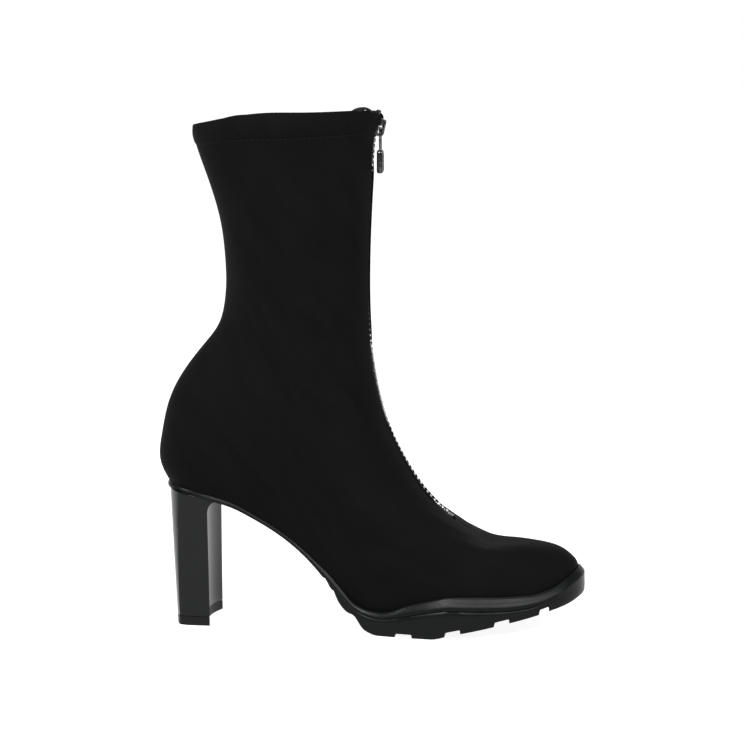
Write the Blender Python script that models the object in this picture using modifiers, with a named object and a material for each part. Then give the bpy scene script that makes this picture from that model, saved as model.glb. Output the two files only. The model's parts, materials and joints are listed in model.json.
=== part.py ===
"""Zip-up ankle boot, right foot: stretch upper, front zip, lugged cup sole and slim block heel.

Metres, +Z up, +X towards the toe and -Y towards the outer side of the foot. The origin is on the
floor under the middle of the boot. Tables and sizes below are in millimetres.
"""

import math

import bmesh
import bpy
import numpy as np
from mathutils import Matrix, Vector

MM = 0.001
OUTER, INNER = -1, 1  # the two sides of the foot, as signs of Y
GAP = 0.35  # clearance between pieces that touch

# Stretch upper
WALL = 1.6
HEM_STEP = 0.5  # how far the folded collar hem stands out
HEM_RUN = 0.12  # rows below the stitch line where the hem starts to stand out
SWING = 6.0  # how far the toe leans to the inner side
BALL_SHIFT = 0.022  # how far the ball sits back on the outer side, as a share of the length
SIDE_COLUMNS = 24
RINGS_PER_ROW = 2

# Rings of the upper, from the sole to the collar. A ring runs from a point on the back line to one
# on the front line. The half widths are those at 12, 42, 70 and 90 per cent of the way, and the two
# radii are those of its ends, seen from above.
UPPER_COLUMNS = (
    "back_x", "back_z", "front_x", "front_z", "heel", "waist", "ball", "toe", "back_r", "nose_r")
UPPER_ROWS = (
    (-118.6, 83.0, 119.8, 23.5, 26.5, 27.5, 39.5, 30.5, 25.0, 24.0),  # feather edge, in the sole
    (-119.6, 83.8, 121.6, 36.2, 27.2, 28.3, 41.0, 31.5, 25.5, 25.0),  # top of the rand
    (-125.0, 95.5, 117.8, 42.6, 29.5, 30.5, 41.0, 30.5, 27.0, 24.0),
    (-124.1, 111.0, 108.8, 47.8, 30.5, 32.0, 39.0, 27.5, 27.0, 23.0),
    (-119.7, 130.5, 92.0, 50.0, 30.5, 33.5, 36.5, 24.5, 26.0, 21.0),
    (-110.3, 149.0, 72.4, 51.6, 29.0, 34.0, 33.5, 21.5, 25.0, 20.0),
    (-97.7, 165.3, 52.4, 61.0, 27.0, 33.5, 30.5, 20.0, 23.0, 19.0),
    (-89.0, 178.0, 34.4, 76.2, 25.5, 33.0, 28.5, 19.0, 22.0, 19.0),
    (-85.7, 193.0, 19.0, 99.2, 24.5, 32.5, 28.0, 19.0, 22.0, 19.5),
    (-85.2, 208.0, 7.3, 127.3, 23.0, 32.0, 28.3, 19.5, 22.0, 21.0),
    (-86.9, 229.0, 0.5, 167.5, 22.0, 31.5, 28.8, 19.5, 22.0, 22.0),
    (-90.4, 246.0, -0.8, 210.0, 21.5, 32.0, 29.3, 19.5, 22.5, 22.5),
    (-95.7, 262.5, 0.6, 250.0, 22.0, 33.0, 30.5, 20.5, 23.0, 22.5),
    (-101.6, 279.0, 3.3, 285.5, 23.0, 34.8, 32.0, 21.5, 23.5, 22.5),  # stitch line of the hem
    (-105.4, 292.3, 7.3, 299.8, 24.0, 36.5, 33.5, 22.5, 24.0, 22.5),  # top of the collar
)
WIDTH_STATIONS = (0.12, 0.42, 0.70, 0.90)
RAND_ROW, HEM_ROW, COLLAR_ROW = 1, 13, 14
SAG_ROWS = 6.0  # rows over which the rings lose the dip of the sole line
COLLAR_RISE = 1.2  # how much the collar's sides stand over the line from back to front
CORNER_DROP = 1.6  # rounding of the two collar corners at the zip

# Lines of the sole seen from the side, one row for each station along the boot: the foot's own
# line, the top of the rand, the top of the lug band, the underside, and how far the side stands out
SOLE_COLUMNS = ("x", "foot", "rand", "lug", "ground", "proud")
SOLE_ROWS = (
    (-123.0, 83.4, 84.2, 82.6, 81.0, 0.8),
    (-109.0, 81.0, 81.8, 80.2, 78.8, 0.6),
    (-95.0, 78.0, 78.8, 77.2, 76.0, 0.5),
    (-80.0, 74.0, 74.8, 73.2, 71.8, 0.4),
    (-65.0, 66.3, 67.1, 65.5, 63.9, 0.4),
    (-50.0, 57.0, 57.8, 56.2, 54.6, 0.4),
    (-38.0, 47.5, 48.5, 46.8, 44.9, 0.6),
    (-27.0, 36.9, 38.6, 36.2, 33.3, 1.0),
    (-22.0, 31.6, 34.0, 31.0, 27.3, 1.5),
    (-14.0, 22.8, 25.6, 22.0, 15.4, 2.2),
    (-6.0, 15.6, 17.8, 14.6, 7.6, 3.0),
    (1.0, 12.8, 14.6, 11.4, 2.0, 3.5),
    (8.0, 11.8, 13.7, 10.2, 0.0, 3.8),
    (14.0, 11.4, 14.4, 10.6, 0.0, 3.9),
    (24.0, 11.2, 18.3, 12.6, 0.0, 4.0),
    (39.0, 11.2, 22.2, 15.8, 0.0, 4.0),
    (50.0, 11.6, 24.2, 17.0, 2.4, 4.0),
    (65.0, 12.8, 24.4, 16.7, 5.4, 4.0),
    (80.0, 14.8, 24.2, 16.6, 8.6, 4.0),
    (95.0, 17.6, 24.5, 17.8, 11.8, 4.0),
    (108.0, 20.6, 27.4, 21.4, 14.9, 3.8),
    (117.0, 22.8, 32.4, 26.4, 17.2, 3.5),
    (126.0, 25.0, 37.6, 31.4, 20.9, 3.4),
)
# Side of the sole from the inside of the rand down to the tread: how far out, as a share of proud,
# then which two lines the height lies between and how far from the first to the second
SOLE_SIDE = (
    (0.00, "rand", "lug", 0.00),  # inner edge of the rand
    (0.40, "rand", "lug", -0.04),  # crest of the bead
    (0.85, "rand", "lug", 0.16),
    (0.98, "rand", "lug", 0.45),
    (1.00, "rand", "lug", 0.88),
    (0.76, "lug", "ground", 0.00),  # groove over the lug band
    (1.10, "lug", "ground", 0.09),  # shoulder of the lugs
    (1.04, "lug", "ground", 0.82),
    (0.74, "lug", "ground", 1.00),  # edge of the tread
)

# Channels between the lugs: middle, length along the boot, depth, and how far they stop from the
# middle line
SIDE_CHANNELS = (
    (-17.6, 2.2, 2.4, 12.0),
    (-9.6, 2.8, 2.4, 13.0),
    (-3.4, 1.8, 2.2, 14.0),
    (23.2, 9.6, 2.2, 17.0),
    (51.8, 8.6, 2.5, 17.0),
    (79.8, 8.2, 2.6, 15.0),
    (103.6, 5.0, 3.0, 11.0),
)
MIDDLE_CHANNELS = (
    (11.0, 5.0, 2.2, 13.0),
    (37.2, 5.0, 2.2, 15.0),
    (65.6, 5.0, 2.2, 14.0),
    (92.0, 5.0, 2.2, 10.0),
)
CHANNEL_SLANT, CHANNEL_LEAN = 2.4, 0.5  # how far the back and front walls slope out at the tread
CHANNEL_REACH, CHANNEL_SIDE = 12.0, 60.0  # how far the cutters run past the tread, down and aside

# Block heel and its top lift
LIFT_HEIGHT = 5.2
HEEL_BACK_TOP, HEEL_BACK_FLOOR = -119.2, -114.4
HEEL_FRONT_TOP, HEEL_FRONT_FLOOR = -94.0, -93.4
HEEL_HALF_TOP, HEEL_HALF_FLOOR = 26.0, 23.0
HEEL_SIDE_TOP, HEEL_SIDE_FLOOR = 14.5, 6.5  # from the back to where the sides run straight
HEEL_BEND_TOP, HEEL_BEND_FLOOR = 2.45, 3.4  # exponents of the back curve, round under the seat
HEEL_BLEND = 1.6  # how fast the round plan gives way to the square one below
BREAST_SCOOP = 4.4
BREAST_FLARE = 7.0  # how far the front edges sweep forward under the waist
BREAST_FLARE_START = 0.88
HEEL_EDGE = 0.6  # rounding of the heel's edges

# Insole
INSOLE_HEIGHT = 2.2

# Zip down the front
SLIT_HALF = 5.0
SLIT_ROW = 6.13  # ring row where the slit ends on the vamp
TAPE_HALF, TAPE_HEIGHT, TAPE_STEP = 12.0, 0.7, 9.0
TAPE_START, STOP_START, STOP_END = 0.06, 0.10, 0.20  # rows above the slit's end
STOP_HALF, STOP_RINGS = 2.5, 9
CHAIN_HALF, CHAIN_HEIGHT, CHAIN_ROOT = 2.7, 2.4, 1.2
TOOTH_PITCH = 3.2
CHAIN_START = 0.02  # rows from the lower stop to the chain
CHAIN_END = 1.0  # from the chain's upper end to the slider's post
SLIDER_HEIGHT = 291.6  # height of the slider's middle
PLATE_LENGTH, PLATE_HALF, PLATE_HEIGHT = 11.0, 4.3, 0.8
SLIDER_MOUTH = 3.0  # room for the chain between the plates
POST_LENGTH, POST_HALF = 2.4, 1.1
POST_INSET = 0.6  # from the upper end of the plates to the post
TOP_STOP_LENGTH, TOP_STOP_WIDTH, TOP_STOP_HEIGHT = 2.2, 1.4, 2.0
TOP_STOP_START = 6.4  # from the slider's middle to the lower end of the top stops
FLANGE_SLOT, FLANGE_WIDTH, FLANGE_LENGTH = 1.7, 1.1, 8.2
FLANGE_SHIFT = -0.9  # from the slider's middle to the flanges' middle
BRIDGE_LENGTH, BRIDGE_HALF, BRIDGE_ROOM, BRIDGE_BAR = 9.4, 0.9, 2.2, 2.1
BRIDGE_LEG = 1.6  # length of a leg along the zip
BLOCK_SINK = 0.4  # how far a block runs into the one that it is joined to
BLOCK_INSET = 0.05  # how far its sides lie inside that block's
HINGE_SHIFT = -0.6  # from the slider's middle to the pull's hinge, along the zip
PULL_BAR, PULL_ARM_HALF, PULL_SLOT_HALF = 1.2, 2.9, 1.4
PULL_LOOP, PULL_TAB_LENGTH, PULL_TAB_HALF, PULL_TAB_HEIGHT = 13.0, 13.6, 4.0, 2.8
PULL_LINK_INSET = 2.4  # from the end of the link inside the tab to the tab's lower end
PULL_SLOT_INSET = 0.2  # from the tab to the lower end of the link's slot
PLATE_ROUND, BRIDGE_ROUND, STOP_ROUND, LINK_ROUND, TAB_ROUND = 0.35, 0.4, 0.3, 0.3, 1.2

FINISHES = {
    # name: base colour, roughness, metallic
    "stretch fabric": ((0.012, 0.012, 0.012), 0.85, 0.0),
    "tread rubber": ((0.020, 0.021, 0.022), 0.45, 0.0),
    "lacquered heel": ((0.022, 0.023, 0.024), 0.18, 0.0),
    "lift rubber": ((0.016, 0.016, 0.016), 0.50, 0.0),
    "insole cloth": ((0.015, 0.015, 0.015), 0.80, 0.0),
    "zip tape": ((0.010, 0.010, 0.010), 0.80, 0.0),
    "silver metal": ((0.70, 0.70, 0.68), 0.25, 1.0),
    "dark metal": ((0.10, 0.10, 0.10), 0.22, 1.0),
}


def natural_spline(xs, rows):
    """Cubic curve through the rows at xs, as a function that returns a row."""
    xs, rows = np.array(xs, float), np.array(rows, float)
    steps, count = np.diff(xs), len(xs)
    system, right = np.eye(count), np.zeros_like(rows)
    for i in range(1, count - 1):
        system[i, i - 1 : i + 2] = steps[i - 1], 2 * (steps[i - 1] + steps[i]), steps[i]
        right[i] = 6 * ((rows[i + 1] - rows[i]) / steps[i] - (rows[i] - rows[i - 1]) / steps[i - 1])
    bend = np.linalg.solve(system, right)

    def at(x):
        i = int(np.clip(np.searchsorted(xs, x) - 1, 0, count - 2))
        h, left, past = steps[i], xs[i + 1] - x, x - xs[i]
        return ((bend[i] * left**3 + bend[i + 1] * past**3) / (6 * h)
                + (rows[i] / h - bend[i] * h / 6) * left
                + (rows[i + 1] / h - bend[i + 1] * h / 6) * past)

    return at


def steady_line(xs, ys):
    """Curve through the points that never swings past them, as a function of x."""
    steps = [b - a for a, b in zip(xs, xs[1:])]
    rises = [(b - a) / h for a, b, h in zip(ys, ys[1:], steps)]
    inside = [0.0 if a * b <= 0 else 2 * a * b / (a + b) for a, b in zip(rises, rises[1:])]
    slopes = [rises[0], *inside, rises[-1]]

    def at(x):
        x = min(max(x, xs[0]), xs[-1])
        i = min(int(np.searchsorted(xs, x, side="right")) - 1, len(steps) - 1)
        h, s = steps[i], (x - xs[i]) / steps[i]
        return (ys[i] * (1 + 2 * s) * (1 - s) ** 2 + ys[i + 1] * s * s * (3 - 2 * s)
                + h * (slopes[i] * s * (1 - s) ** 2 - slopes[i + 1] * s * s * (1 - s)))

    return at


def ease(share):
    """Smooth step from 0 to 1."""
    share = min(max(share, 0.0), 1.0)
    return share * share * (3 - 2 * share)


SOLE_X = [row[0] for row in SOLE_ROWS]
SOLE_LINE = {
    name: steady_line(SOLE_X, [row[i] for row in SOLE_ROWS])
    for i, name in enumerate(SOLE_COLUMNS) if i
}
UPPER_AT = natural_spline(range(len(UPPER_ROWS)), UPPER_ROWS)


class Ring:
    """One ring of the upper's outer face at a row, which may lie between two rows of the table."""

    def __init__(self, row):
        self.row = row
        values = dict(zip(UPPER_COLUMNS, UPPER_AT(row)))
        self.back = (values["back_x"], values["back_z"])
        self.front = (values["front_x"], values["front_z"])
        self.length = self.front[0] - self.back[0]
        swell = [values[name] / (2 * math.sqrt(share * (1 - share)))
                 for name, share in zip(("heel", "waist", "ball", "toe"), WIDTH_STATIONS)]
        ends = [math.sqrt(values[name] * self.length / 2) for name in ("back_r", "nose_r")]
        self.swell = natural_spline(
            (0.0, *WIDTH_STATIONS, 1.0), [[value] for value in (ends[0], *swell, ends[1])])

    def point(self, turn, side):
        """Point at an angle from 0 at the back to pi at the front, on one side of the foot."""
        share = (1 - math.cos(turn)) / 2
        lean = BALL_SHIFT * math.sin(turn) ** 2 * max(0.0, 1 - self.row / SAG_ROWS)
        swell = self.swell(min(share - side * lean, 1.0))[0]
        swing = SWING * share**3 * max(0.0, 1 - self.row / SAG_ROWS)
        x = self.back[0] + self.length * share
        return Vector((x, side * swell * math.sin(turn) + swing, self.height(share, x)))

    def height(self, share, x):
        if self.row <= RAND_ROW:
            return SOLE_LINE["foot"](x) * (1 - self.row) + SOLE_LINE["rand"](x) * self.row
        first = UPPER_ROWS[RAND_ROW]
        rand_x = first[0] + (first[2] - first[0]) * share
        dip = SOLE_LINE["rand"](rand_x) - first[1] - (first[3] - first[1]) * share
        fade = 1 - ease((self.row - RAND_ROW) / SAG_ROWS)
        rise = COLLAR_RISE * 2 * math.sqrt(share * (1 - share)) * ease((self.row - HEM_ROW + 1) / 2)
        return self.back[1] + (self.front[1] - self.back[1]) * share + dip * fade + rise

    def turn_at(self, width):
        """Angle near the front where the ring lies this far from its middle."""
        turn = math.pi
        for _ in range(12):
            share = (1 - math.cos(turn)) / 2
            turn = math.pi - math.asin(min(1.0, width / self.swell(share)[0]))
        return turn


def upper_normal(row, turn, side):
    """Outward unit normal of the upper."""
    step = 0.02
    low, high = max(row - step, 0.0), min(row + step, COLLAR_ROW)
    along = Ring(high).point(turn, side) - Ring(low).point(turn, side)
    ring = Ring(row)
    around = ring.point(turn + step, side) - ring.point(turn - step, side)
    normal = along.cross(around).normalized()
    return normal if side == INNER else -normal


def front_frame(row, offset=0.0):
    """Point on the front middle line, the line's upward direction and the outward normal."""
    step = 0.02
    ring, low, high = Ring(row), Ring(row - step), Ring(min(row + step, COLLAR_ROW))
    up = (high.point(math.pi, INNER) - low.point(math.pi, INNER)).normalized()
    out = Vector((0, 1, 0)).cross(up).normalized()
    return ring.point(math.pi, INNER) + out * offset, up, out


def front_rows(first, last, pitch):
    """Rows spaced evenly along the front line, pitch millimetres apart."""
    fine = np.linspace(first, last, 400)
    points = [np.array(front_frame(row)[0]) for row in fine]
    run = np.concatenate(([0.0], np.cumsum([np.linalg.norm(b - a) for a, b in zip(points, points[1:])])))
    count = max(2, round(run[-1] / pitch))
    return [float(np.interp(run[-1] * i / count, run, fine)) for i in range(count + 1)]


def row_at_height(height):
    """Row whose front point has this height, on the shaft."""
    rows = np.linspace(SLIT_ROW, COLLAR_ROW, 800)
    heights = [UPPER_AT(row)[UPPER_COLUMNS.index("front_z")] for row in rows]
    return float(np.interp(height, heights, rows))


def finish(name):
    """Material with the colour, roughness and metallic value of a finish."""
    material = bpy.data.materials.get(name) or bpy.data.materials.new(name)
    colour, rough, metallic = FINISHES[name]
    material.use_nodes = True
    shader = material.node_tree.nodes["Principled BSDF"]
    shader.inputs["Base Color"].default_value = (*colour, 1.0)
    shader.inputs["Roughness"].default_value = rough
    shader.inputs["Metallic"].default_value = metallic
    return material


def add_object(name, mesh, material, collection, smooth_angle=40.0):
    """Link a mesh as a named object with its material and smooth shading."""
    obj = bpy.data.objects.new(name, mesh)
    collection.objects.link(obj)
    if material:
        mesh.materials.append(finish(material))
    mesh.shade_smooth()
    mesh.set_sharp_from_angle(angle=math.radians(smooth_angle))
    return obj


def mesh_from(bm, name):
    """Finished mesh in metres from a bmesh in millimetres, with its faces pointing out."""
    bmesh.ops.recalc_face_normals(bm, faces=bm.faces)
    bmesh.ops.scale(bm, vec=(MM, MM, MM), verts=bm.verts)
    mesh = bpy.data.meshes.new(name)
    bm.to_mesh(mesh)
    bm.free()
    return mesh


def loft(bm, rings, closed):
    """Skin a list of rings of equal length, and return the rings' vertices."""
    made = [[bm.verts.new(point) for point in ring] for ring in rings]
    count = len(made[0])
    for low, high in zip(made, made[1:]):
        for i in range(count if closed else count - 1):
            j = (i + 1) % count
            bm.faces.new((low[i], low[j], high[j], high[i]))
    return made


def cap_across(bm, ring):
    """Close a ring that runs up one side and back down the other, with rungs between the sides."""
    half = len(ring) // 2
    for i in range(half):
        rung = [ring[i], ring[i + 1], ring[-i - 1], ring[-i]]
        bm.faces.new(list(dict.fromkeys(rung)))


def carve(obj, cutter, operation="DIFFERENCE"):
    """Cut an object by another, or join the two, and hide the helper."""
    modifier = obj.modifiers.new(cutter.name, "BOOLEAN")
    modifier.operation = operation
    modifier.object = cutter
    cutter.hide_render = True
    cutter.display_type = "WIRE"


def cuboid(bm, centre, size):
    """Box of this size as part of a bmesh; returns its vertices."""
    made = bmesh.ops.create_cube(bm, size=1.0)["verts"]
    bmesh.ops.scale(bm, vec=size, verts=made)
    bmesh.ops.translate(bm, vec=centre, verts=made)
    return made


def spots(ring):
    """Angles and sides round a ring, evenly spaced: the outer side from the back, the front, the inner."""
    fine = np.linspace(0.0, ring.turn_at(SLIT_HALF), 120)
    points = [np.array(ring.point(turn, INNER)) for turn in fine]
    steps = [np.linalg.norm(b - a) for a, b in zip(points, points[1:])]
    run = np.concatenate(([0.0], np.cumsum(steps)))
    turns = np.interp(np.linspace(0.0, run[-1], SIDE_COLUMNS + 1), run, fine)
    outer = [(float(turn), OUTER) for turn in turns]
    inner = [(float(turn), INNER) for turn in turns[:0:-1]]
    return [*outer, (math.pi, INNER), *inner]


def build_upper(parts):
    """Stretch shell, open at the collar, underneath and along the zip, with a folded hem."""
    steps = COLLAR_ROW * RINGS_PER_ROW
    near_slit = round(SLIT_ROW * RINGS_PER_ROW) / RINGS_PER_ROW
    rows = {COLLAR_ROW * i / steps for i in range(steps + 1)} - {RAND_ROW / 2, near_slit}
    rows = sorted(rows | {SLIT_ROW, HEM_ROW - HEM_RUN, HEM_ROW + HEM_RUN / 2})
    bm = bmesh.new()
    grid = []
    for row in rows:
        ring = Ring(row)
        hem = HEM_STEP * ease((row - HEM_ROW + HEM_RUN) / (1.5 * HEM_RUN))
        grid.append([ring.point(*spot) + upper_normal(row, *spot) * hem for spot in spots(ring)])
    middle = SIDE_COLUMNS + 1
    for corner in (middle - 1, middle + 1):
        grid[-1][corner].z -= CORNER_DROP
    made = loft(bm, grid, closed=True)
    strip = [verts[middle] for verts, row in zip(made, rows) if row > SLIT_ROW]
    bmesh.ops.delete(bm, geom=strip, context="VERTS")
    obj = add_object("upper", mesh_from(bm, "upper"), "stretch fabric", parts)
    shell = obj.modifiers.new("wall", "SOLIDIFY")
    shell.thickness = WALL * MM
    shell.offset = -1.0
    shell.use_even_offset = True
    shell.use_quality_normals = True


def ring_aside(row, reach):
    """Ring of the upper at a row, moved outwards level with the floor by reach(x)."""
    ring = Ring(row)
    moved = []
    for turn, side in spots(ring):
        point, flat = ring.point(turn, side), upper_normal(row, turn, side)
        flat.z = 0.0
        moved.append(point + flat.normalized() * reach(point.x))
    return moved


def sole_ring(out, first, second, share):
    """Ring of the sole's side, a share of the rand's width out from the upper."""
    ring = ring_aside(RAND_ROW, lambda x: GAP + out * SOLE_LINE["proud"](x))
    for point in ring:
        low, high = SOLE_LINE[first](point.x), SOLE_LINE[second](point.x)
        point.z = low + (high - low) * share
    return ring


def build_outsole(parts, cutters):
    """Cup sole: floor, rand with its bead, groove and lug band, thin waist and heel seat."""
    floor = ring_aside(0.0, lambda _: GAP)
    for point in floor:
        point.z -= GAP
    rings = [floor] + [sole_ring(*level) for level in SOLE_SIDE]
    bm = bmesh.new()
    made = loft(bm, rings, closed=True)
    cap_across(bm, made[0])
    cap_across(bm, made[-1])
    obj = add_object("outsole", mesh_from(bm, "outsole"), "tread rubber", parts, 35.0)
    carve(obj, build_channels(cutters))


def channel(bm, x, length, depth, near, far):
    """Cutter for one channel under the sole, between two distances from the middle line."""
    back, front = x - length / 2, x + length / 2
    ground = SOLE_LINE["ground"]
    corners = {
        (-1, 1): (back, ground(back) + depth),
        (1, 1): (front, ground(front) + depth),
        (-1, -1): (back - CHANNEL_SLANT, ground(back - CHANNEL_SLANT) - CHANNEL_REACH),
        (1, -1): (front + CHANNEL_LEAN, ground(front + CHANNEL_LEAN) - CHANNEL_REACH),
    }
    for vert in cuboid(bm, (0, 0, 0), (2, 2, 2)):
        across = far if vert.co.y > 0 else near
        x_corner, z_corner = corners[round(vert.co.x), round(vert.co.z)]
        vert.co = (x_corner, across, z_corner)


def build_channels(cutters):
    """All channels of the tread as one cutter."""
    bm = bmesh.new()
    for x, length, depth, stop in SIDE_CHANNELS:
        channel(bm, x, length, depth, -CHANNEL_SIDE, -stop)
        channel(bm, x, length, depth, stop + SWING / 2, CHANNEL_SIDE)
    for x, length, depth, reach in MIDDLE_CHANNELS:
        channel(bm, x, length, depth, -reach, reach + SWING / 2)
    return add_object("tread_channels", mesh_from(bm, "tread_channels"), None, cutters)


def heel_share(height):
    """Height as a share of the heel's own."""
    return height / SOLE_LINE["ground"](HEEL_BACK_TOP)


def heel_plan(along, across, share):
    """Place on the heel's plan: along from 0 at the back to 1 at the breast, across from -1 to 1."""
    half = HEEL_HALF_FLOOR + (HEEL_HALF_TOP - HEEL_HALF_FLOOR) * share**1.5
    back = HEEL_BACK_FLOOR + (HEEL_BACK_TOP - HEEL_BACK_FLOOR) * share
    blend = share**HEEL_BLEND
    side_start = HEEL_SIDE_FLOOR + (HEEL_SIDE_TOP - HEEL_SIDE_FLOOR) * blend
    back += side_start * abs(across) ** (HEEL_BEND_FLOOR + (HEEL_BEND_TOP - HEEL_BEND_FLOOR) * blend)
    sweep = max(0.0, (share - BREAST_FLARE_START) / (1 - BREAST_FLARE_START))
    front = HEEL_FRONT_FLOOR + (HEEL_FRONT_TOP - HEEL_FRONT_FLOOR) * share
    front += BREAST_FLARE * (1 - math.sqrt(max(0.0, 1 - sweep * sweep)))
    front -= BREAST_SCOOP * (1 - across * across)
    return back + (front - back) * along, half * across


def build_heel_block(name, low, high, share_range, cells, material, parts):
    """Piece of the heel between two heights: a subdivided cube mapped to the heel's form."""
    bm = bmesh.new()
    bmesh.ops.create_cube(bm, size=2.0)
    bmesh.ops.subdivide_edges(bm, edges=bm.edges, cuts=cells - 1, use_grid_fill=True)
    first, last = share_range
    for vert in bm.verts:
        along, up = (vert.co.x + 1) / 2, (vert.co.z + 1) / 2
        up = math.sin(up * math.pi / 2)
        x, y = heel_plan(along, math.sin(vert.co.y * math.pi / 2), first + (last - first) * up)
        vert.co = (x, y, low + (high(x) - low) * up)
    obj = add_object(name, mesh_from(bm, name), material, parts, 35.0)
    edge = obj.modifiers.new("edge rounding", "BEVEL")
    edge.width = HEEL_EDGE * MM
    edge.segments = 2
    edge.limit_method = "ANGLE"
    edge.angle_limit = math.radians(50.0)


def build_heel(parts):
    """Block heel under the heel seat and the rubber lift under it."""
    joint = heel_share(LIFT_HEIGHT)
    ground = SOLE_LINE["ground"]
    build_heel_block("heel", LIFT_HEIGHT + GAP, lambda x: ground(x) - GAP, (joint, 1.0), 12,
                     "lacquered heel", parts)
    build_heel_block("top_lift", 0.0, lambda _: LIFT_HEIGHT, (0.0, joint), 8, "lift rubber", parts)


def build_insole(parts):
    """Insole sheet inside the upper."""
    low = ring_aside(0.0, lambda _: -WALL - 2 * GAP)
    for point in low:
        point.z = SOLE_LINE["foot"](point.x)
    high = [point + Vector((0, 0, INSOLE_HEIGHT)) for point in low]
    bm = bmesh.new()
    made = loft(bm, [low, high], closed=True)
    cap_across(bm, made[0])
    cap_across(bm, made[-1])
    add_object("insole", mesh_from(bm, "insole"), "insole cloth", parts)


TAPE_DEPTH = WALL + GAP + TAPE_HEIGHT / 2  # from the upper's face to the middle of the tape


def build_tape(name, side, parts):
    """One half of the zip's tape, sewn behind the edge of the slit."""
    widths = (CHAIN_HALF + 2 * GAP, SLIT_HALF, (SLIT_HALF + TAPE_HALF) / 2, TAPE_HALF)
    rings = []
    for row in front_rows(SLIT_ROW + TAPE_START, COLLAR_ROW, TAPE_STEP):
        ring = Ring(row)
        outer, inner = [], []
        for width in widths:
            turn = ring.turn_at(width)
            point, normal = ring.point(turn, side), upper_normal(row, turn, side)
            outer.append(point - normal * (TAPE_DEPTH - TAPE_HEIGHT / 2))
            inner.append(point - normal * (TAPE_DEPTH + TAPE_HEIGHT / 2))
        rings.append(outer + inner[::-1])
    bm = bmesh.new()
    made = loft(bm, rings, closed=True)
    cap_across(bm, made[0][-1:] + made[0][:-1])
    cap_across(bm, made[-1][-1:] + made[-1][:-1])
    add_object(name, mesh_from(bm, name), "zip tape", parts)


def chain_ring(row, half, height):
    """Square section of the chain at a row."""
    middle, _, out = front_frame(row, -TAPE_DEPTH)
    across = Vector((0, half, 0))
    lift = out * height / 2
    return [middle + across + lift, middle - across + lift, middle - across - lift, middle + across - lift]


def build_chain(first, last, parts):
    """Closed zip chain: a ribbed strip with one rib for each tooth."""
    rows = front_rows(first, last, TOOTH_PITCH / 2)
    rings = []
    for i, row in enumerate(rows):
        tooth = i % 2 == 0
        rings.append(chain_ring(row, CHAIN_HALF, CHAIN_HEIGHT if tooth else CHAIN_ROOT))
    bm = bmesh.new()
    made = loft(bm, rings, closed=True)
    bm.faces.new(made[0])
    bm.faces.new(made[-1])
    add_object("zip_teeth", mesh_from(bm, "zip_teeth"), "silver metal", parts, 20.0)


def build_stop(parts):
    """Metal clip that closes the lower end of the zip."""
    rows = np.linspace(SLIT_ROW + STOP_START, SLIT_ROW + STOP_END, STOP_RINGS)
    bm = bmesh.new()
    made = loft(bm, [chain_ring(row, STOP_HALF, CHAIN_HEIGHT) for row in rows], closed=True)
    bm.faces.new(made[0])
    bm.faces.new(made[-1])
    add_object("zip_bottom_stop", mesh_from(bm, "zip_bottom_stop"), "dark metal", parts)


def build_top_stops(parts):
    """Metal clip at the upper end of each tape's inner edge, over the slider."""
    matrix, origin = slider_matrix()
    for name, side in (("zip_top_stop_outer", OUTER), ("zip_top_stop_inner", INNER)):
        centre = (TOP_STOP_START + TOP_STOP_LENGTH / 2, side * (CHAIN_HALF - TOP_STOP_WIDTH / 2), 0)
        size = (TOP_STOP_LENGTH, TOP_STOP_WIDTH, TOP_STOP_HEIGHT)
        place(add_block(name, centre, size, STOP_ROUND, "silver metal", parts), matrix, origin)


def slider_matrix():
    """Frame of the slider: X up the zip, Y across, Z outwards, on the middle of the chain."""
    middle, up, out = front_frame(row_at_height(SLIDER_HEIGHT), -TAPE_DEPTH)
    return Matrix((up, Vector((0, 1, 0)), out)).transposed().to_4x4(), middle


def place(obj, matrix, origin):
    """Put an object made in a local frame where the frame says."""
    obj.matrix_world = Matrix.Translation(origin * MM) @ matrix
    return obj


def add_block(name, centre, size, rounding, material, collection):
    """Box with rounded edges, in a local frame."""
    bm = bmesh.new()
    cuboid(bm, centre, size)
    obj = add_object(name, mesh_from(bm, name), material, collection)
    if rounding:
        edge = obj.modifiers.new("rounding", "BEVEL")
        edge.width = rounding * MM
        edge.segments = 2
    return obj


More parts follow.
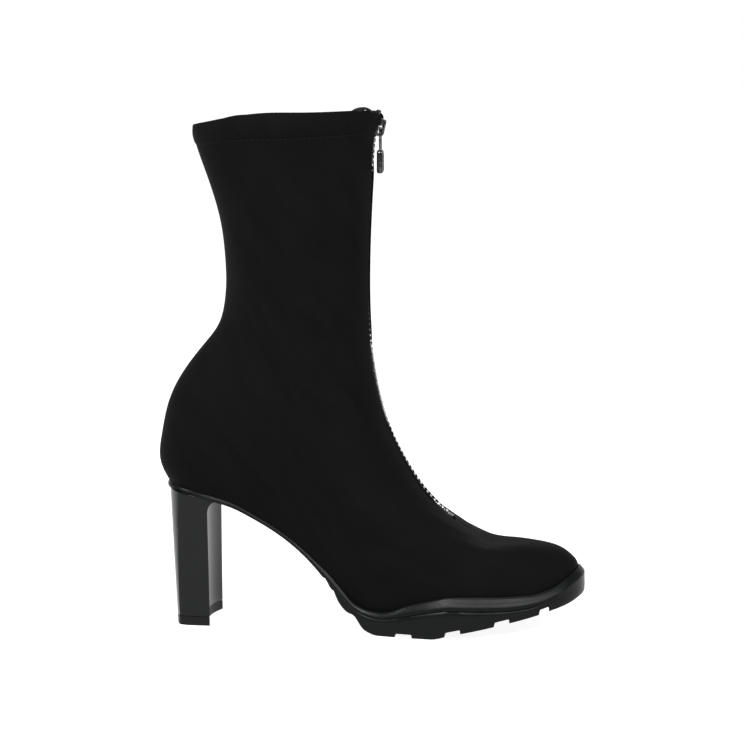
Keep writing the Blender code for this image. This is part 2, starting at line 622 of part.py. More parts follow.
def build_slider(parts, cutters):
    """Slider body: two plates joined by a post, flanges round the chain and a bridge for the pull."""
    matrix, origin = slider_matrix()
    plate = SLIDER_MOUTH / 2 + PLATE_HEIGHT / 2
    size = (PLATE_LENGTH, 2 * PLATE_HALF, PLATE_HEIGHT)
    body = add_block("zip_slider", (0, 0, plate), size, PLATE_ROUND, "dark metal", parts)
    place(body, matrix, origin)
    post_x = PLATE_LENGTH / 2 - POST_LENGTH / 2 - POST_INSET
    flange_y = PLATE_HALF - FLANGE_WIDTH / 2 - 2 * BLOCK_INSET
    flange_height = (SLIDER_MOUTH - FLANGE_SLOT) / 2 + PLATE_HEIGHT / 2
    flange_z = FLANGE_SLOT / 2 + flange_height / 2
    top = SLIDER_MOUTH / 2 + PLATE_HEIGHT
    bridge_z = top + BRIDGE_ROOM + BRIDGE_BAR / 2
    leg_height = BRIDGE_ROOM + 2 * BLOCK_SINK
    leg_x = BRIDGE_LENGTH / 2 - BRIDGE_LEG / 2
    leg_size = (BRIDGE_LEG - 2 * BLOCK_INSET, 2 * (BRIDGE_HALF - BLOCK_INSET), leg_height)
    blocks = {
        "inner_plate": ((0, 0, -plate), size, PLATE_ROUND),
        "post": ((post_x, 0, 0), (POST_LENGTH, 2 * POST_HALF, SLIDER_MOUTH + PLATE_HEIGHT), 0.0),
        "bridge": ((0, 0, bridge_z), (BRIDGE_LENGTH, 2 * BRIDGE_HALF, BRIDGE_BAR), BRIDGE_ROUND),
        "upper_leg": ((leg_x, 0, top + BRIDGE_ROOM / 2), leg_size, 0.0),
        "lower_leg": ((-leg_x, 0, top + BRIDGE_ROOM / 2), leg_size, 0.0),
    }
    for side in (OUTER, INNER):
        for face in (-1, 1):
            name = f"flange_{'outer' if side < 0 else 'inner'}_{'front' if face > 0 else 'back'}"
            centre = (FLANGE_SHIFT, side * flange_y, face * flange_z)
            blocks[name] = (centre, (FLANGE_LENGTH, FLANGE_WIDTH, flange_height), 0.0)
    for name, (centre, block_size, rounding) in blocks.items():
        block = add_block(f"slider_{name}", centre, block_size, rounding, None, cutters)
        carve(body, place(block, matrix, origin), "UNION")


def build_pull(parts, cutters):
    """Pull: a flat link round the slider's bridge and a thick tab, hanging plumb from the hinge."""
    matrix, origin = slider_matrix()
    bar_height = SLIDER_MOUTH / 2 + PLATE_HEIGHT + BRIDGE_ROOM / 2
    hinge = origin + matrix.to_3x3() @ Vector((HINGE_SHIFT, 0, bar_height))
    tab_top = PULL_BAR / 2 - PULL_LOOP
    tab_low = tab_top - PULL_TAB_LENGTH
    top, low = PULL_BAR / 2, tab_low + PULL_LINK_INSET
    slot_top, slot_low = -PULL_BAR / 2, tab_top + PULL_SLOT_INSET
    link = add_block("zip_pull", (0, 0, (top + low) / 2), (PULL_BAR, 2 * PULL_ARM_HALF, top - low),
                     LINK_ROUND, "dark metal", parts)
    slot = add_block("pull_slot", (0, 0, (slot_top + slot_low) / 2),
                     (3 * PULL_BAR, 2 * PULL_SLOT_HALF, slot_top - slot_low), 0.0, None, cutters)
    tab = add_block("pull_tab", (0, 0, (tab_top + tab_low) / 2),
                    (PULL_TAB_HEIGHT, 2 * PULL_TAB_HALF, PULL_TAB_LENGTH), TAB_ROUND, None, cutters)
    for piece in (link, slot, tab):
        piece.location = hinge * MM
    carve(link, slot)
    carve(link, tab, "UNION")


def build_zip(parts, cutters):
    """Tapes, stops, chain, slider and pull."""
    for name, side in (("zip_tape_outer", OUTER), ("zip_tape_inner", INNER)):
        build_tape(name, side, parts)
    build_stop(parts)
    chain_top = row_at_height(SLIDER_HEIGHT + PLATE_LENGTH / 2 - POST_INSET - POST_LENGTH - CHAIN_END)
    build_chain(SLIT_ROW + STOP_END + CHAIN_START, chain_top, parts)
    build_slider(parts, cutters)
    build_top_stops(parts)
    build_pull(parts, cutters)


def main():
    for obj in list(bpy.data.objects):
        bpy.data.objects.remove(obj)
    parts = bpy.data.collections.new("Zip-up ankle boot")
    cutters = bpy.data.collections.new("Cutters")
    for collection in (parts, cutters):
        bpy.context.scene.collection.children.link(collection)
    build_upper(parts)
    build_outsole(parts, cutters)
    build_insole(parts)
    build_heel(parts)
    build_zip(parts, cutters)


main()
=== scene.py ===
"""Studio scene of a zip-up ankle boot for the right foot.

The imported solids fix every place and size. The classes below dress them as a stretch upper, a
lugged rubber cup sole, a lacquered block heel and a metal zip. Sizes are in millimetres and
meshes are finished in metres, with +X to the toe, -Y to the outer side of the foot and +Z up.
"""

import json
import logging
import math
from dataclasses import astuple, dataclass, field, fields
from enum import Enum
from typing import Any, Callable, Sequence

import bmesh
import bpy
import numpy as np
from mathutils import Matrix, Vector


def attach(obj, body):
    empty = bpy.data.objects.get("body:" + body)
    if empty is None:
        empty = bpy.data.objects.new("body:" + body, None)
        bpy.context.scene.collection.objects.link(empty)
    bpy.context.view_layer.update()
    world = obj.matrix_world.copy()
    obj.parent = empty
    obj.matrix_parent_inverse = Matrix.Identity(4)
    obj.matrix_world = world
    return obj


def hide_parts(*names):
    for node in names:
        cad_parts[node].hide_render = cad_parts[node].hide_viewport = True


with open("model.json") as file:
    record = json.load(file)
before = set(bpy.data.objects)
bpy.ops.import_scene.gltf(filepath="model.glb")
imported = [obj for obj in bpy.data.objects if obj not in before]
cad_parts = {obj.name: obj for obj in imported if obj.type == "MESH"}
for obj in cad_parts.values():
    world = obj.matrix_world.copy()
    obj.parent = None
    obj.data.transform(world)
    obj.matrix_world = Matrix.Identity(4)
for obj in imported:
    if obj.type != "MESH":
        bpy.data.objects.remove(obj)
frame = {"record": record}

LOG = logging.getLogger("ankle_boot")
MM = 0.001
FULL_TURN = 2 * math.pi
# Points closer than MERGE are joined and edges shorter than SLIVER taken out, in millimetres.
MERGE = 0.002
SLIVER = 0.0005
# Numbers of a Mix node's colour sockets.
MIX_FIRST, MIX_SECOND, MIX_RESULT = 6, 7, 2
NOISE_ROUGHNESS = 0.55
# A face squarely faces an axis where its unit normal reaches further than this along it.
FACING = 0.99
Array = np.ndarray
Mesh = bmesh.types.BMesh
Piece = bpy.types.Object
Finish = bpy.types.Material
Socket = bpy.types.NodeSocket
Colour = tuple[float, float, float]
Span = tuple[float, float]
Place = tuple[float, float, float]
Table = tuple[float, ...]


class Side(Enum):
    """The two sides of the foot, as signs of Y."""

    OUTER = -1
    INNER = 1


class Body(Enum):
    """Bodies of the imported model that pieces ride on."""

    BOOT = "boot"
    PULL = "pull"


class Slot(Enum):
    """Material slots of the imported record."""

    FABRIC = "stretch_fabric"
    TREAD = "tread_rubber"
    INSOLE = "insole_cloth"
    HEEL = "heel_lacquer"
    LIFT = "lift_rubber"
    TAPE = "zip_tape"
    SILVER = "silver_metal"
    DARK = "dark_metal"


class Coords(Enum):
    """Where a finish reads its pattern from."""

    OBJECT = "Object"
    UV = "UV"
    HEADING = "Generated"


class Crease(Enum):
    """Angle in degrees past which the edges of a piece stay sharp."""

    CUT = 30.0
    TREAD = 32.0
    PRESSED = 35.0
    MOULDED = 40.0
    BAR = 50.0
    CLOTH = 60.0


def ease(share: Array | float) -> Array:
    """Smooth step from 0 to 1."""
    share = np.clip(share, 0.0, 1.0)
    return share * share * (3 - 2 * share)


def bell(distance: Array | float, half: float) -> Array:
    """Bump of height 1 that fades over about half on both sides of 0."""
    return np.exp(-((np.asarray(distance) / half) ** 2))


def ramp(at: Array | float, start: float, length: float) -> Array:
    """Smooth step from 0 at the start to 1 a length further on."""
    return ease((at - start) / length)


def part_way(first: Any, last: Any, share: Any) -> Any:
    """Value that lies this share of the way from the first to the last."""
    return first + (last - first) * share


def unit(vectors: Array) -> Array:
    """Vectors of length 1 with the same headings."""
    return vectors / np.linalg.norm(vectors, axis=-1, keepdims=True)


def run_along(points: Array) -> Array:
    """Length of a path up to each of its points."""
    return np.concatenate(([0.0], np.cumsum(np.linalg.norm(np.diff(points, axis=0), axis=1))))


def round_trip(turns: Array) -> tuple[Array, Array]:
    """Angles of a whole ring.

    Args:
        turns: Angles of one side, from the back to the front.

    Returns:
        The angles up the outer side and back down the inner one, and the sign of Y at each.
    """
    both = np.concatenate((turns, turns[-2::-1]))
    sides = np.concatenate((np.full(len(turns), -1.0), np.full(len(turns) - 1, 1.0)))
    return both, sides


def grey(tone: float) -> Colour:
    """Neutral colour."""
    return tone, tone, tone


@dataclass(frozen=True)
class Zone:
    """Zone on a line, with the start and length of its rise and of its fall."""

    rise: Span
    fall: Span

    def __call__(self, at: Array) -> Array:
        """1 in the zone, fading to 0 at its two ends."""
        return ramp(at, *self.rise) * (1 - ramp(at, *self.fall))


class NaturalSpline:
    """Smooth cubic curve through a table of values."""

    def __init__(self, stations: Sequence[float], values: Sequence[Any]) -> None:
        """Work out the bends of the curve.

        Args:
            stations: Rising places of the values.
            values: One value, or one row of values, for each station.
        """
        self.stations = np.asarray(stations, float)
        self.values = np.asarray(values, float)
        self.steps = np.diff(self.stations)
        count = len(self.stations)
        system, right = np.eye(count), np.zeros_like(self.values)
        for i in range(1, count - 1):
            before, after = self.steps[i - 1], self.steps[i]
            system[i, i - 1 : i + 2] = before, 2 * (before + after), after
            rise = (self.values[i + 1] - self.values[i]) / after
            right[i] = 6 * (rise - (self.values[i] - self.values[i - 1]) / before)
        self.bends = np.linalg.solve(system, right)

    def __call__(self, at: Array | float) -> Array:
        """Read the curve.

        Args:
            at: Place or places.

        Returns:
            The value or row of values at each place.
        """
        at = np.atleast_1d(np.asarray(at, float))
        i = np.clip(np.searchsorted(self.stations, at) - 1, 0, len(self.steps) - 1)
        shape = (-1,) + (1,) * (self.values.ndim - 1)
        step = self.steps[i].reshape(shape)
        left = (self.stations[i + 1] - at).reshape(shape)
        past = (at - self.stations[i]).reshape(shape)
        curve = (self.bends[i] * left**3 + self.bends[i + 1] * past**3) / (6 * step)
        curve += (self.values[i] / step - self.bends[i] * step / 6) * left
        return curve + (self.values[i + 1] / step - self.bends[i + 1] * step / 6) * past


class SteadyLine:
    """Curve through points that never swings past them."""

    def __init__(self, stations: Sequence[float], values: Sequence[float]) -> None:
        """Work out the slope at each point.

        Args:
            stations: Rising places of the points.
            values: Heights of the points.
        """
        self.stations, self.values = np.asarray(stations, float), np.asarray(values, float)
        self.steps = np.diff(self.stations)
        rises = np.diff(self.values) / self.steps
        product, total = rises[:-1] * rises[1:], rises[:-1] + rises[1:]
        inside = np.where(product > 0, 2 * product / np.where(product > 0, total, 1.0), 0.0)
        self.slopes = np.concatenate((rises[:1], inside, rises[-1:]))

    def __call__(self, at: Array | float) -> Array:
        """Read the curve.

        Args:
            at: Place or places, held inside the ends of the curve.

        Returns:
            The height at each place.
        """
        at = np.clip(np.asarray(at, float), self.stations[0], self.stations[-1])
        i = np.clip(np.searchsorted(self.stations, at, side="right") - 1, 0, len(self.steps) - 1)
        step = self.steps[i]
        share = (at - self.stations[i]) / step
        ends = self.values[i] * (1 + 2 * share) * (1 - share) ** 2
        ends = ends + self.values[i + 1] * share**2 * (3 - 2 * share)
        lean = self.slopes[i] * share * (1 - share) ** 2
        lean = lean - self.slopes[i + 1] * share**2 * (1 - share)
        return ends + step * lean


@dataclass(frozen=True)
class UpperRow:
    """Ring of the upper: ends on the back and front lines, four half widths and two end radii."""

    back_x: float
    back_z: float
    front_x: float
    front_z: float
    heel: float
    waist: float
    ball: float
    toe: float
    back_r: float
    nose_r: float


@dataclass(frozen=True)
class SoleStation:
    """Heights of the sole's lines at one place along the boot, and how far its side stands out."""

    x: float
    foot: float
    rand: float
    lug: float
    ground: float
    proud: float


UPPER_ROWS = tuple(UpperRow(*row) for row in (
    (-118.6, 83.0, 119.8, 23.5, 26.5, 27.5, 39.5, 30.5, 25.0, 24.0),
    (-119.6, 83.8, 121.6, 36.2, 27.2, 28.3, 41.0, 31.5, 25.5, 25.0),
    (-125.0, 95.5, 117.8, 42.6, 29.5, 30.5, 41.0, 30.5, 27.0, 24.0),
    (-124.1, 111.0, 108.8, 47.8, 30.5, 32.0, 39.0, 27.5, 27.0, 23.0),
    (-119.7, 130.5, 92.0, 50.0, 30.5, 33.5, 36.5, 24.5, 26.0, 21.0),
    (-110.3, 149.0, 72.4, 51.6, 29.0, 34.0, 33.5, 21.5, 25.0, 20.0),
    (-97.7, 165.3, 52.4, 61.0, 27.0, 33.5, 30.5, 20.0, 23.0, 19.0),
    (-89.0, 178.0, 34.4, 76.2, 25.5, 33.0, 28.5, 19.0, 22.0, 19.0),
    (-85.7, 193.0, 19.0, 99.2, 24.5, 32.5, 28.0, 19.0, 22.0, 19.5),
    (-85.2, 208.0, 7.3, 127.3, 23.0, 32.0, 28.3, 19.5, 22.0, 21.0),
    (-86.9, 229.0, 0.5, 167.5, 22.0, 31.5, 28.8, 19.5, 22.0, 22.0),
    (-90.4, 246.0, -0.8, 210.0, 21.5, 32.0, 29.3, 19.5, 22.5, 22.5),
    (-95.7, 262.5, 0.6, 250.0, 22.0, 33.0, 30.5, 20.5, 23.0, 22.5),
    (-101.6, 279.0, 3.3, 285.5, 23.0, 34.8, 32.0, 21.5, 23.5, 22.5),
    (-105.4, 292.3, 7.3, 299.8, 24.0, 36.5, 33.5, 22.5, 24.0, 22.5),
))

SOLE_STATIONS = tuple(SoleStation(*row) for row in (
    (-123.0, 83.4, 84.2, 82.6, 81.0, 0.7),
    (-109.0, 81.0, 81.8, 80.2, 78.8, 0.45),
    (-95.0, 78.0, 78.8, 77.2, 76.0, 0.4),
    (-80.0, 74.0, 74.8, 73.2, 72.0, 0.35),
    (-65.0, 66.3, 67.1, 65.5, 64.6, 0.35),
    (-50.0, 57.0, 57.8, 56.2, 55.2, 0.35),
    (-38.0, 47.5, 48.5, 46.8, 45.5, 0.6),
    (-27.0, 36.9, 38.6, 36.2, 34.1, 1.0),
    (-22.0, 31.6, 34.0, 31.0, 27.9, 1.5),
    (-14.0, 22.8, 25.6, 22.0, 15.6, 2.2),
    (-6.0, 15.6, 17.8, 14.6, 7.6, 3.0),
    (1.0, 12.8, 14.6, 11.4, 2.0, 3.5),
    (8.0, 11.8, 13.7, 10.2, 0.0, 3.8),
    (14.0, 11.4, 14.4, 10.6, 0.0, 3.9),
    (24.0, 11.2, 18.3, 12.6, 0.0, 4.0),
    (39.0, 11.2, 22.2, 15.8, 0.0, 4.0),
    (50.0, 11.6, 24.2, 17.0, 2.4, 4.0),
    (65.0, 12.8, 24.4, 16.7, 5.4, 4.0),
    (80.0, 14.8, 24.2, 16.6, 8.6, 4.0),
    (95.0, 17.6, 24.5, 17.8, 11.8, 4.0),
    (108.0, 20.6, 27.4, 21.4, 14.9, 3.8),
    (117.0, 22.8, 32.4, 26.4, 17.2, 3.5),
    (126.0, 25.0, 37.6, 31.4, 20.9, 3.4),
))


@dataclass
class BootForm:
    """Form of the boot: the face of the upper and the side lines of the sole."""

    gap: float = 0.35
    wall: float = 1.6
    slit_row: float = 6.13
    swing: float = 6.0
    ball_shift: float = 0.022
    rand_row: float = 1.0
    hem_row: float = 13.0
    collar_row: float = 14.0
    sag_rows: float = 6.0
    collar_rise: float = 1.2
    width_stations: Table = (0.12, 0.42, 0.70, 0.90)
    shaft_row: float = 6.2
    slope_step: float = 0.02
    front_samples: int = 500
    height_samples: int = 800
    ring_samples: int = 400
    turn_rounds: int = 12
    table: NaturalSpline = field(init=False)
    lines: dict[str, SteadyLine] = field(init=False)

    def __post_init__(self) -> None:
        """Lay smooth curves through the tables of the upper and the sole."""
        self.table = NaturalSpline(range(len(UPPER_ROWS)), [astuple(row) for row in UPPER_ROWS])
        xs = [station.x for station in SOLE_STATIONS]
        names = [part.name for part in fields(SoleStation)][1:]
        self.lines = {
            name: SteadyLine(xs, [getattr(station, name) for station in SOLE_STATIONS])
            for name in names
        }

    def ring(self, row: float) -> "Ring":
        """Ring of the upper's face at a row, which may lie between two rows of the table."""
        return Ring(self, row)

    def normals(self, row: float, turns: Array, sides: Array) -> Array:
        """Outward unit normals of the upper's face.

        Args:
            row: Row of the ring.
            turns: Angles round the ring.
            sides: Sign of the side for each angle.

        Returns:
            One normal for each angle.
        """
        step = self.slope_step
        low, high = self.ring(max(row - step, 0.0)), self.ring(min(row + step, self.collar_row))
        ring = self.ring(row)
        along = high.points(turns, sides) - low.points(turns, sides)
        around = ring.points(turns + step, sides) - ring.points(turns - step, sides)
        return unit(np.cross(along, around) * np.asarray(sides)[:, None])

    def front_frame(self, row: float, depth: float = 0.0) -> Matrix:
        """Frame on the front line: X up the line, Y across the boot, Z outwards.

        Args:
            row: Row of the ring.
            depth: How far under the upper's face the frame lies.

        Returns:
            The frame as a matrix.
        """
        step, front, side = self.slope_step, np.array([math.pi]), np.array([1])
        low = self.ring(row - step).points(front, side)[0]
        high = self.ring(min(row + step, self.collar_row)).points(front, side)[0]
        up = Vector(high - low).normalized()
        across = Vector((0, 1, 0))
        out = across.cross(up)
        place = Vector(self.ring(row).points(front, side)[0]) - out * depth
        matrix = Matrix((up, across, out)).transposed().to_4x4()
        matrix.translation = place
        return matrix

    def front_rows(self, first: float, last: float, pitch: float) -> Array:
        """Rows spaced evenly along the front line.

        Args:
            first: Lowest row.
            last: Highest row.
            pitch: Distance from one row to the next.

        Returns:
            The rows from first to last.
        """
        fine = np.linspace(first, last, self.front_samples)
        run = run_along(self.table(fine)[:, 2:4])
        count = max(2, round(run[-1] / pitch))
        return np.interp(np.linspace(0.0, run[-1], count + 1), run, fine)

    def row_at_height(self, height: float) -> float:
        """Row whose front point has this height, on the shaft."""
        rows = np.linspace(self.shaft_row, self.collar_row, self.height_samples)
        return float(np.interp(height, self.table(rows)[:, 3], rows))


class Ring:
    """One ring round the upper's face."""

    def __init__(self, form: BootForm, row: float) -> None:
        """Read the ring's sizes from the form.

        Args:
            form: Form that the ring belongs to.
            row: Row of the table, which may be a fraction.
        """
        self.form, self.row = form, row
        sizes = UpperRow(*form.table(row)[0])
        self.sizes = sizes
        self.length = sizes.front_x - sizes.back_x
        halves = (sizes.heel, sizes.waist, sizes.ball, sizes.toe)
        swell = [half / (2 * math.sqrt(s * (1 - s)))
                 for half, s in zip(halves, form.width_stations)]
        ends = (sizes.back_r, sizes.nose_r)
        back, nose = (math.sqrt(radius * self.length / 2) for radius in ends)
        self.swell = NaturalSpline((0.0, *form.width_stations, 1.0), (back, *swell, nose))

    def points(self, turns: Array, sides: Array) -> Array:
        """Points on the ring.

        Args:
            turns: Angles from 0 at the back to pi at the front.
            sides: Sign of the side for each angle.

        Returns:
            One point for each angle.
        """
        form = self.form
        share = (1 - np.cos(turns)) / 2
        fade = max(0.0, 1 - self.row / form.sag_rows)
        lean = form.ball_shift * np.sin(turns) ** 2 * fade
        swell = self.swell(np.minimum(share - sides * lean, 1.0))
        x = self.sizes.back_x + self.length * share
        y = sides * swell * np.sin(turns) + form.swing * share**3 * fade
        return np.stack((x, y, self.heights(share, x)), axis=-1)

    def heights(self, share: Array, x: Array) -> Array:
        """Heights of points of the ring.

        Args:
            share: Share of the way from the back to the front.
            x: The same places along the boot.

        Returns:
            The heights.
        """
        form, sizes = self.form, self.sizes
        if self.row <= form.rand_row:
            return form.lines["foot"](x) * (1 - self.row) + form.lines["rand"](x) * self.row
        first = UPPER_ROWS[int(form.rand_row)]
        rand_x = part_way(first.back_x, first.front_x, share)
        dip = form.lines["rand"](rand_x) - first.back_z - (first.front_z - first.back_z) * share
        fade = 1 - ramp(self.row, form.rand_row, form.sag_rows)
        arch = 2 * np.sqrt(np.clip(share * (1 - share), 0.0, 0.25))
        rise = form.collar_rise * arch * ease((self.row - form.hem_row + 1) / 2)
        return part_way(sizes.back_z, sizes.front_z, share) + dip * fade + rise

    def turn_at(self, width: float) -> float:
        """Angle near the front where the ring lies this far from its middle.

        Args:
            width: Distance from the middle.

        Returns:
            The angle.
        """
        turn = math.pi
        for _ in range(self.form.turn_rounds):
            share = (1 - math.cos(turn)) / 2
            turn = math.pi - math.asin(min(1.0, width / float(self.swell(share)[0])))
        return turn

    def runs(self, edge: float) -> tuple[Array, Array]:
        """Angles from the back to the edge angle, and the length of ring up to each of them."""
        fine = np.linspace(0.0, edge, self.form.ring_samples)
        return fine, run_along(self.points(fine, np.ones_like(fine)))


class Value:
    """Number socket of a node tree; Python's operators on it add Math nodes."""

    def __init__(self, bench: "NodeBench", socket: Socket) -> None:
        """Keep the socket and the bench that adds nodes to its tree."""
        self.bench, self.socket = bench, socket

    def __add__(self, other: "Value | float") -> "Value":
        """Sum."""
        return self.bench.maths("ADD", self, other)

    def __radd__(self, other: float) -> "Value":
        """Sum with a number first."""
        return self.bench.maths("ADD", other, self)

    def __sub__(self, other: "Value | float") -> "Value":
        """Difference."""
        return self.bench.maths("SUBTRACT", self, other)

    def __rsub__(self, other: float) -> "Value":
        """Difference with a number first."""
        return self.bench.maths("SUBTRACT", other, self)

    def __mul__(self, other: "Value | float") -> "Value":
        """Product."""
        return self.bench.maths("MULTIPLY", self, other)

    def __rmul__(self, other: float) -> "Value":
        """Product with a number first."""
        return self.bench.maths("MULTIPLY", other, self)

    def sine(self) -> "Value":
        """Sine, of an angle in radians."""
        return self.bench.maths("SINE", self)

    def zigzag(self, half: float) -> "Value":
        """Saw that rises and falls over this length."""
        return self.bench.maths("PINGPONG", self, half)

    def between(self, low: float, high: float) -> "Value":
        """Smooth step from 0 at low to 1 at high."""
        made = self.bench.node(
            "ShaderNodeMapRange", {"interpolation_type": "SMOOTHSTEP"},
            {"Value": self, "From Min": low, "From Max": high})
        return Value(self.bench, made.outputs[0])


class NodeBench:
    """Node tree of a material or of the surroundings, with short ways to add to it."""

    def __init__(self, owner: Finish | bpy.types.World, shader: str) -> None:
        """Open the owner's node tree.

        Args:
            owner: Material or world.
            shader: Name of the shader node that it starts with.
        """
        owner.use_nodes = True
        self.owner, self.tree = owner, owner.node_tree
        self.shader = self.tree.nodes[shader]

    @classmethod
    def paint(cls, name: str) -> "NodeBench":
        """Bench of a new material."""
        return cls(bpy.data.materials.new(name), "Principled BSDF")

    def feed(self, socket: Socket, value: Any) -> None:
        """Link a value or socket to an input, or set the input's own number.

        Args:
            socket: The input.
            value: A Value, an output socket, a number, a colour or a vector.
        """
        source = value.socket if isinstance(value, Value) else value
        if isinstance(source, Socket):
            self.tree.links.new(source, socket)
        else:
            socket.default_value = source

    def node(
            self, kind: str, settings: dict[str, Any], sockets: dict[str | int, Any]
    ) -> bpy.types.Node:
        """Add a node.

        Args:
            kind: Type of the node.
            settings: The node's own settings, which are set first.
            sockets: Values or links of its inputs, by name or number.

        Returns:
            The node.
        """
        made = self.tree.nodes.new(kind)
        for name, setting in settings.items():
            setattr(made, name, setting)
        for key, value in sockets.items():
            self.feed(made.inputs[key], value)
        return made

    def maths(self, operation: str, first: "Value | float", second: "Value | float" = 0.0) -> Value:
        """Math node on one or two values.

        Args:
            operation: What the node does.
            first: First value.
            second: Second value, if the operation has one.

        Returns:
            The result.
        """
        made = self.node("ShaderNodeMath", {"operation": operation}, {0: first, 1: second})
        return Value(self, made.outputs[0])

    def coords(self, kind: Coords) -> Socket:
        """Coordinates of a kind, in metres."""
        return self.node("ShaderNodeTexCoord", {}, {}).outputs[kind.value]

    def parts(self, vector: Socket) -> tuple[Value, Value, Value]:
        """The three numbers of a vector.

        Args:
            vector: Output that gives the vector.

        Returns:
            Its X, Y and Z.
        """
        made = self.node("ShaderNodeSeparateXYZ", {}, {0: vector})
        first, second, third = (Value(self, socket) for socket in made.outputs)
        return first, second, third

    def noise(self, place: Socket, scale: float, detail: float = 2.0) -> Value:
        """Soft noise from 0 to 1.

        Args:
            place: Coordinates.
            scale: Number of lumps in a metre.
            detail: How many finer layers are added.

        Returns:
            The noise.
        """
        sockets = {"Vector": place, "Scale": scale, "Detail": detail, "Roughness": NOISE_ROUGHNESS}
        return Value(self, self.node("ShaderNodeTexNoise", {}, sockets).outputs[0])

    def cells(self, place: Socket, scale: float) -> Value:
        """Distance to the nearest of scattered points, in cells.

        Args:
            place: Coordinates.
            scale: Number of cells in a metre.

        Returns:
            The distance.
        """
        sockets = {"Vector": place, "Scale": scale}
        made = self.node("ShaderNodeTexVoronoi", {"feature": "F1"}, sockets)
        return Value(self, made.outputs["Distance"])

    def blend(self, share: Value, first: Colour, second: Colour) -> Socket:
        """Colour between two colours.

        Args:
            share: How much of the second colour, from 0 to 1.
            first: Colour at 0.
            second: Colour at 1.

        Returns:
            The colour.
        """
        settings = {"data_type": "RGBA", "clamp_factor": True}
        sockets = {0: share, MIX_FIRST: (*first, 1.0), MIX_SECOND: (*second, 1.0)}
        return self.node("ShaderNodeMix", settings, sockets).outputs[MIX_RESULT]

    def relief(self, height: Value, distance: float, strength: float) -> Socket:
        """Normal bent by a height.

        Args:
            height: Height from 0 to 1.
            distance: What a height of 1 stands for, in metres.
            strength: Share of the effect.

        Returns:
            The normal.
        """
        sockets = {"Height": height, "Distance": distance, "Strength": strength}
        return self.node("ShaderNodeBump", {}, sockets).outputs[0]

    def coat(self, sockets: dict[str, Any]) -> Finish | bpy.types.World:
        """Set the shader's inputs.

        Args:
            sockets: Values or links of the inputs, by name.

        Returns:
            The material or world.
        """
        for name, value in sockets.items():
            self.feed(self.shader.inputs[name], value)
        return self.owner


@dataclass(frozen=True)
class Coating:
    """Finish that runs from a darker to a lighter colour."""

    name: str
    dark: Colour
    light: Colour

    def tint(self, bench: NodeBench, share: Value) -> Socket:
        """Colour at a share of the way from dark to light."""
        return bench.blend(share, self.dark, self.light)


@dataclass(frozen=True)
class Jersey(Coating):
    """Matt stretch knit, in rows of small loops along the fabric."""

    loop: float = 0.62
    rough: float = 0.68
    sheen: float = 0.010
    specular: float = 0.030
    loop_height: float = 0.8
    loop_bend: float = 1.1
    cloud_scale: float = 45.0
    cloud_range: Span = (0.25, 0.75)
    cloud_rough: float = 0.10
    fluff_scale: float = 2600.0
    fluff_rough: float = 0.06
    wale_share: float = 0.45
    course_share: float = 0.35
    fluff_share: float = 0.35
    depth: float = 0.05
    strength: float = 0.35
    sheen_rough: float = 0.45

    def material(self) -> Finish:
        """The finish as a material."""
        bench = NodeBench.paint(self.name)
        place = bench.coords(Coords.UV)
        across, along, _ = bench.parts(place)
        wale = (across * (FULL_TURN / (self.loop * MM))).sine()
        rise = along * (FULL_TURN / (self.loop * self.loop_height * MM))
        course = (rise + wale * self.loop_bend).sine()
        cloud = bench.noise(place, self.cloud_scale, 3.0)
        fluff = bench.noise(place, self.fluff_scale, 1.0)
        height = wale * wale * self.wale_share + course * self.course_share
        height = height + fluff * self.fluff_share
        return bench.coat({
            "Base Color": self.tint(bench, cloud.between(*self.cloud_range)),
            "Roughness": self.rough + cloud * self.cloud_rough + fluff * self.fluff_rough,
            "Normal": bench.relief(height, self.depth * MM, self.strength),
            "Specular IOR Level": self.specular,
            "Sheen Weight": self.sheen,
            "Sheen Roughness": self.sheen_rough,
        })


@dataclass(frozen=True)
class Rubber(Coating):
    """Moulded rubber with a fine skin and faint cloudiness."""

    rough: float
    grain: float = 0.45
    relief: float = 0.10
    specular: float = 0.09
    cloud_scale: float = 70.0
    cloud_share: float = 0.7
    cloud_rough: float = 0.10
    bloom_scale: float = 260.0
    bloom_range: Span = (0.48, 0.72)
    bloom_share: float = 0.3
    bloom_rough: float = 0.05
    depth: float = 0.06

    def material(self) -> Finish:
        """The finish as a material."""
        bench = NodeBench.paint(self.name)
        place = bench.coords(Coords.OBJECT)
        cloud = bench.noise(place, self.cloud_scale, 3.0)
        skin = bench.noise(place, 1.0 / (self.grain * MM), 2.0)
        bloom = bench.noise(place, self.bloom_scale, 2.0).between(*self.bloom_range)
        tone = cloud * self.cloud_share + bloom * self.bloom_share
        return bench.coat({
            "Base Color": self.tint(bench, tone),
            "Roughness": self.rough + cloud * self.cloud_rough + bloom * self.bloom_rough,
            "Normal": bench.relief(skin, self.depth * MM, self.relief),
            "Specular IOR Level": self.specular,
        })


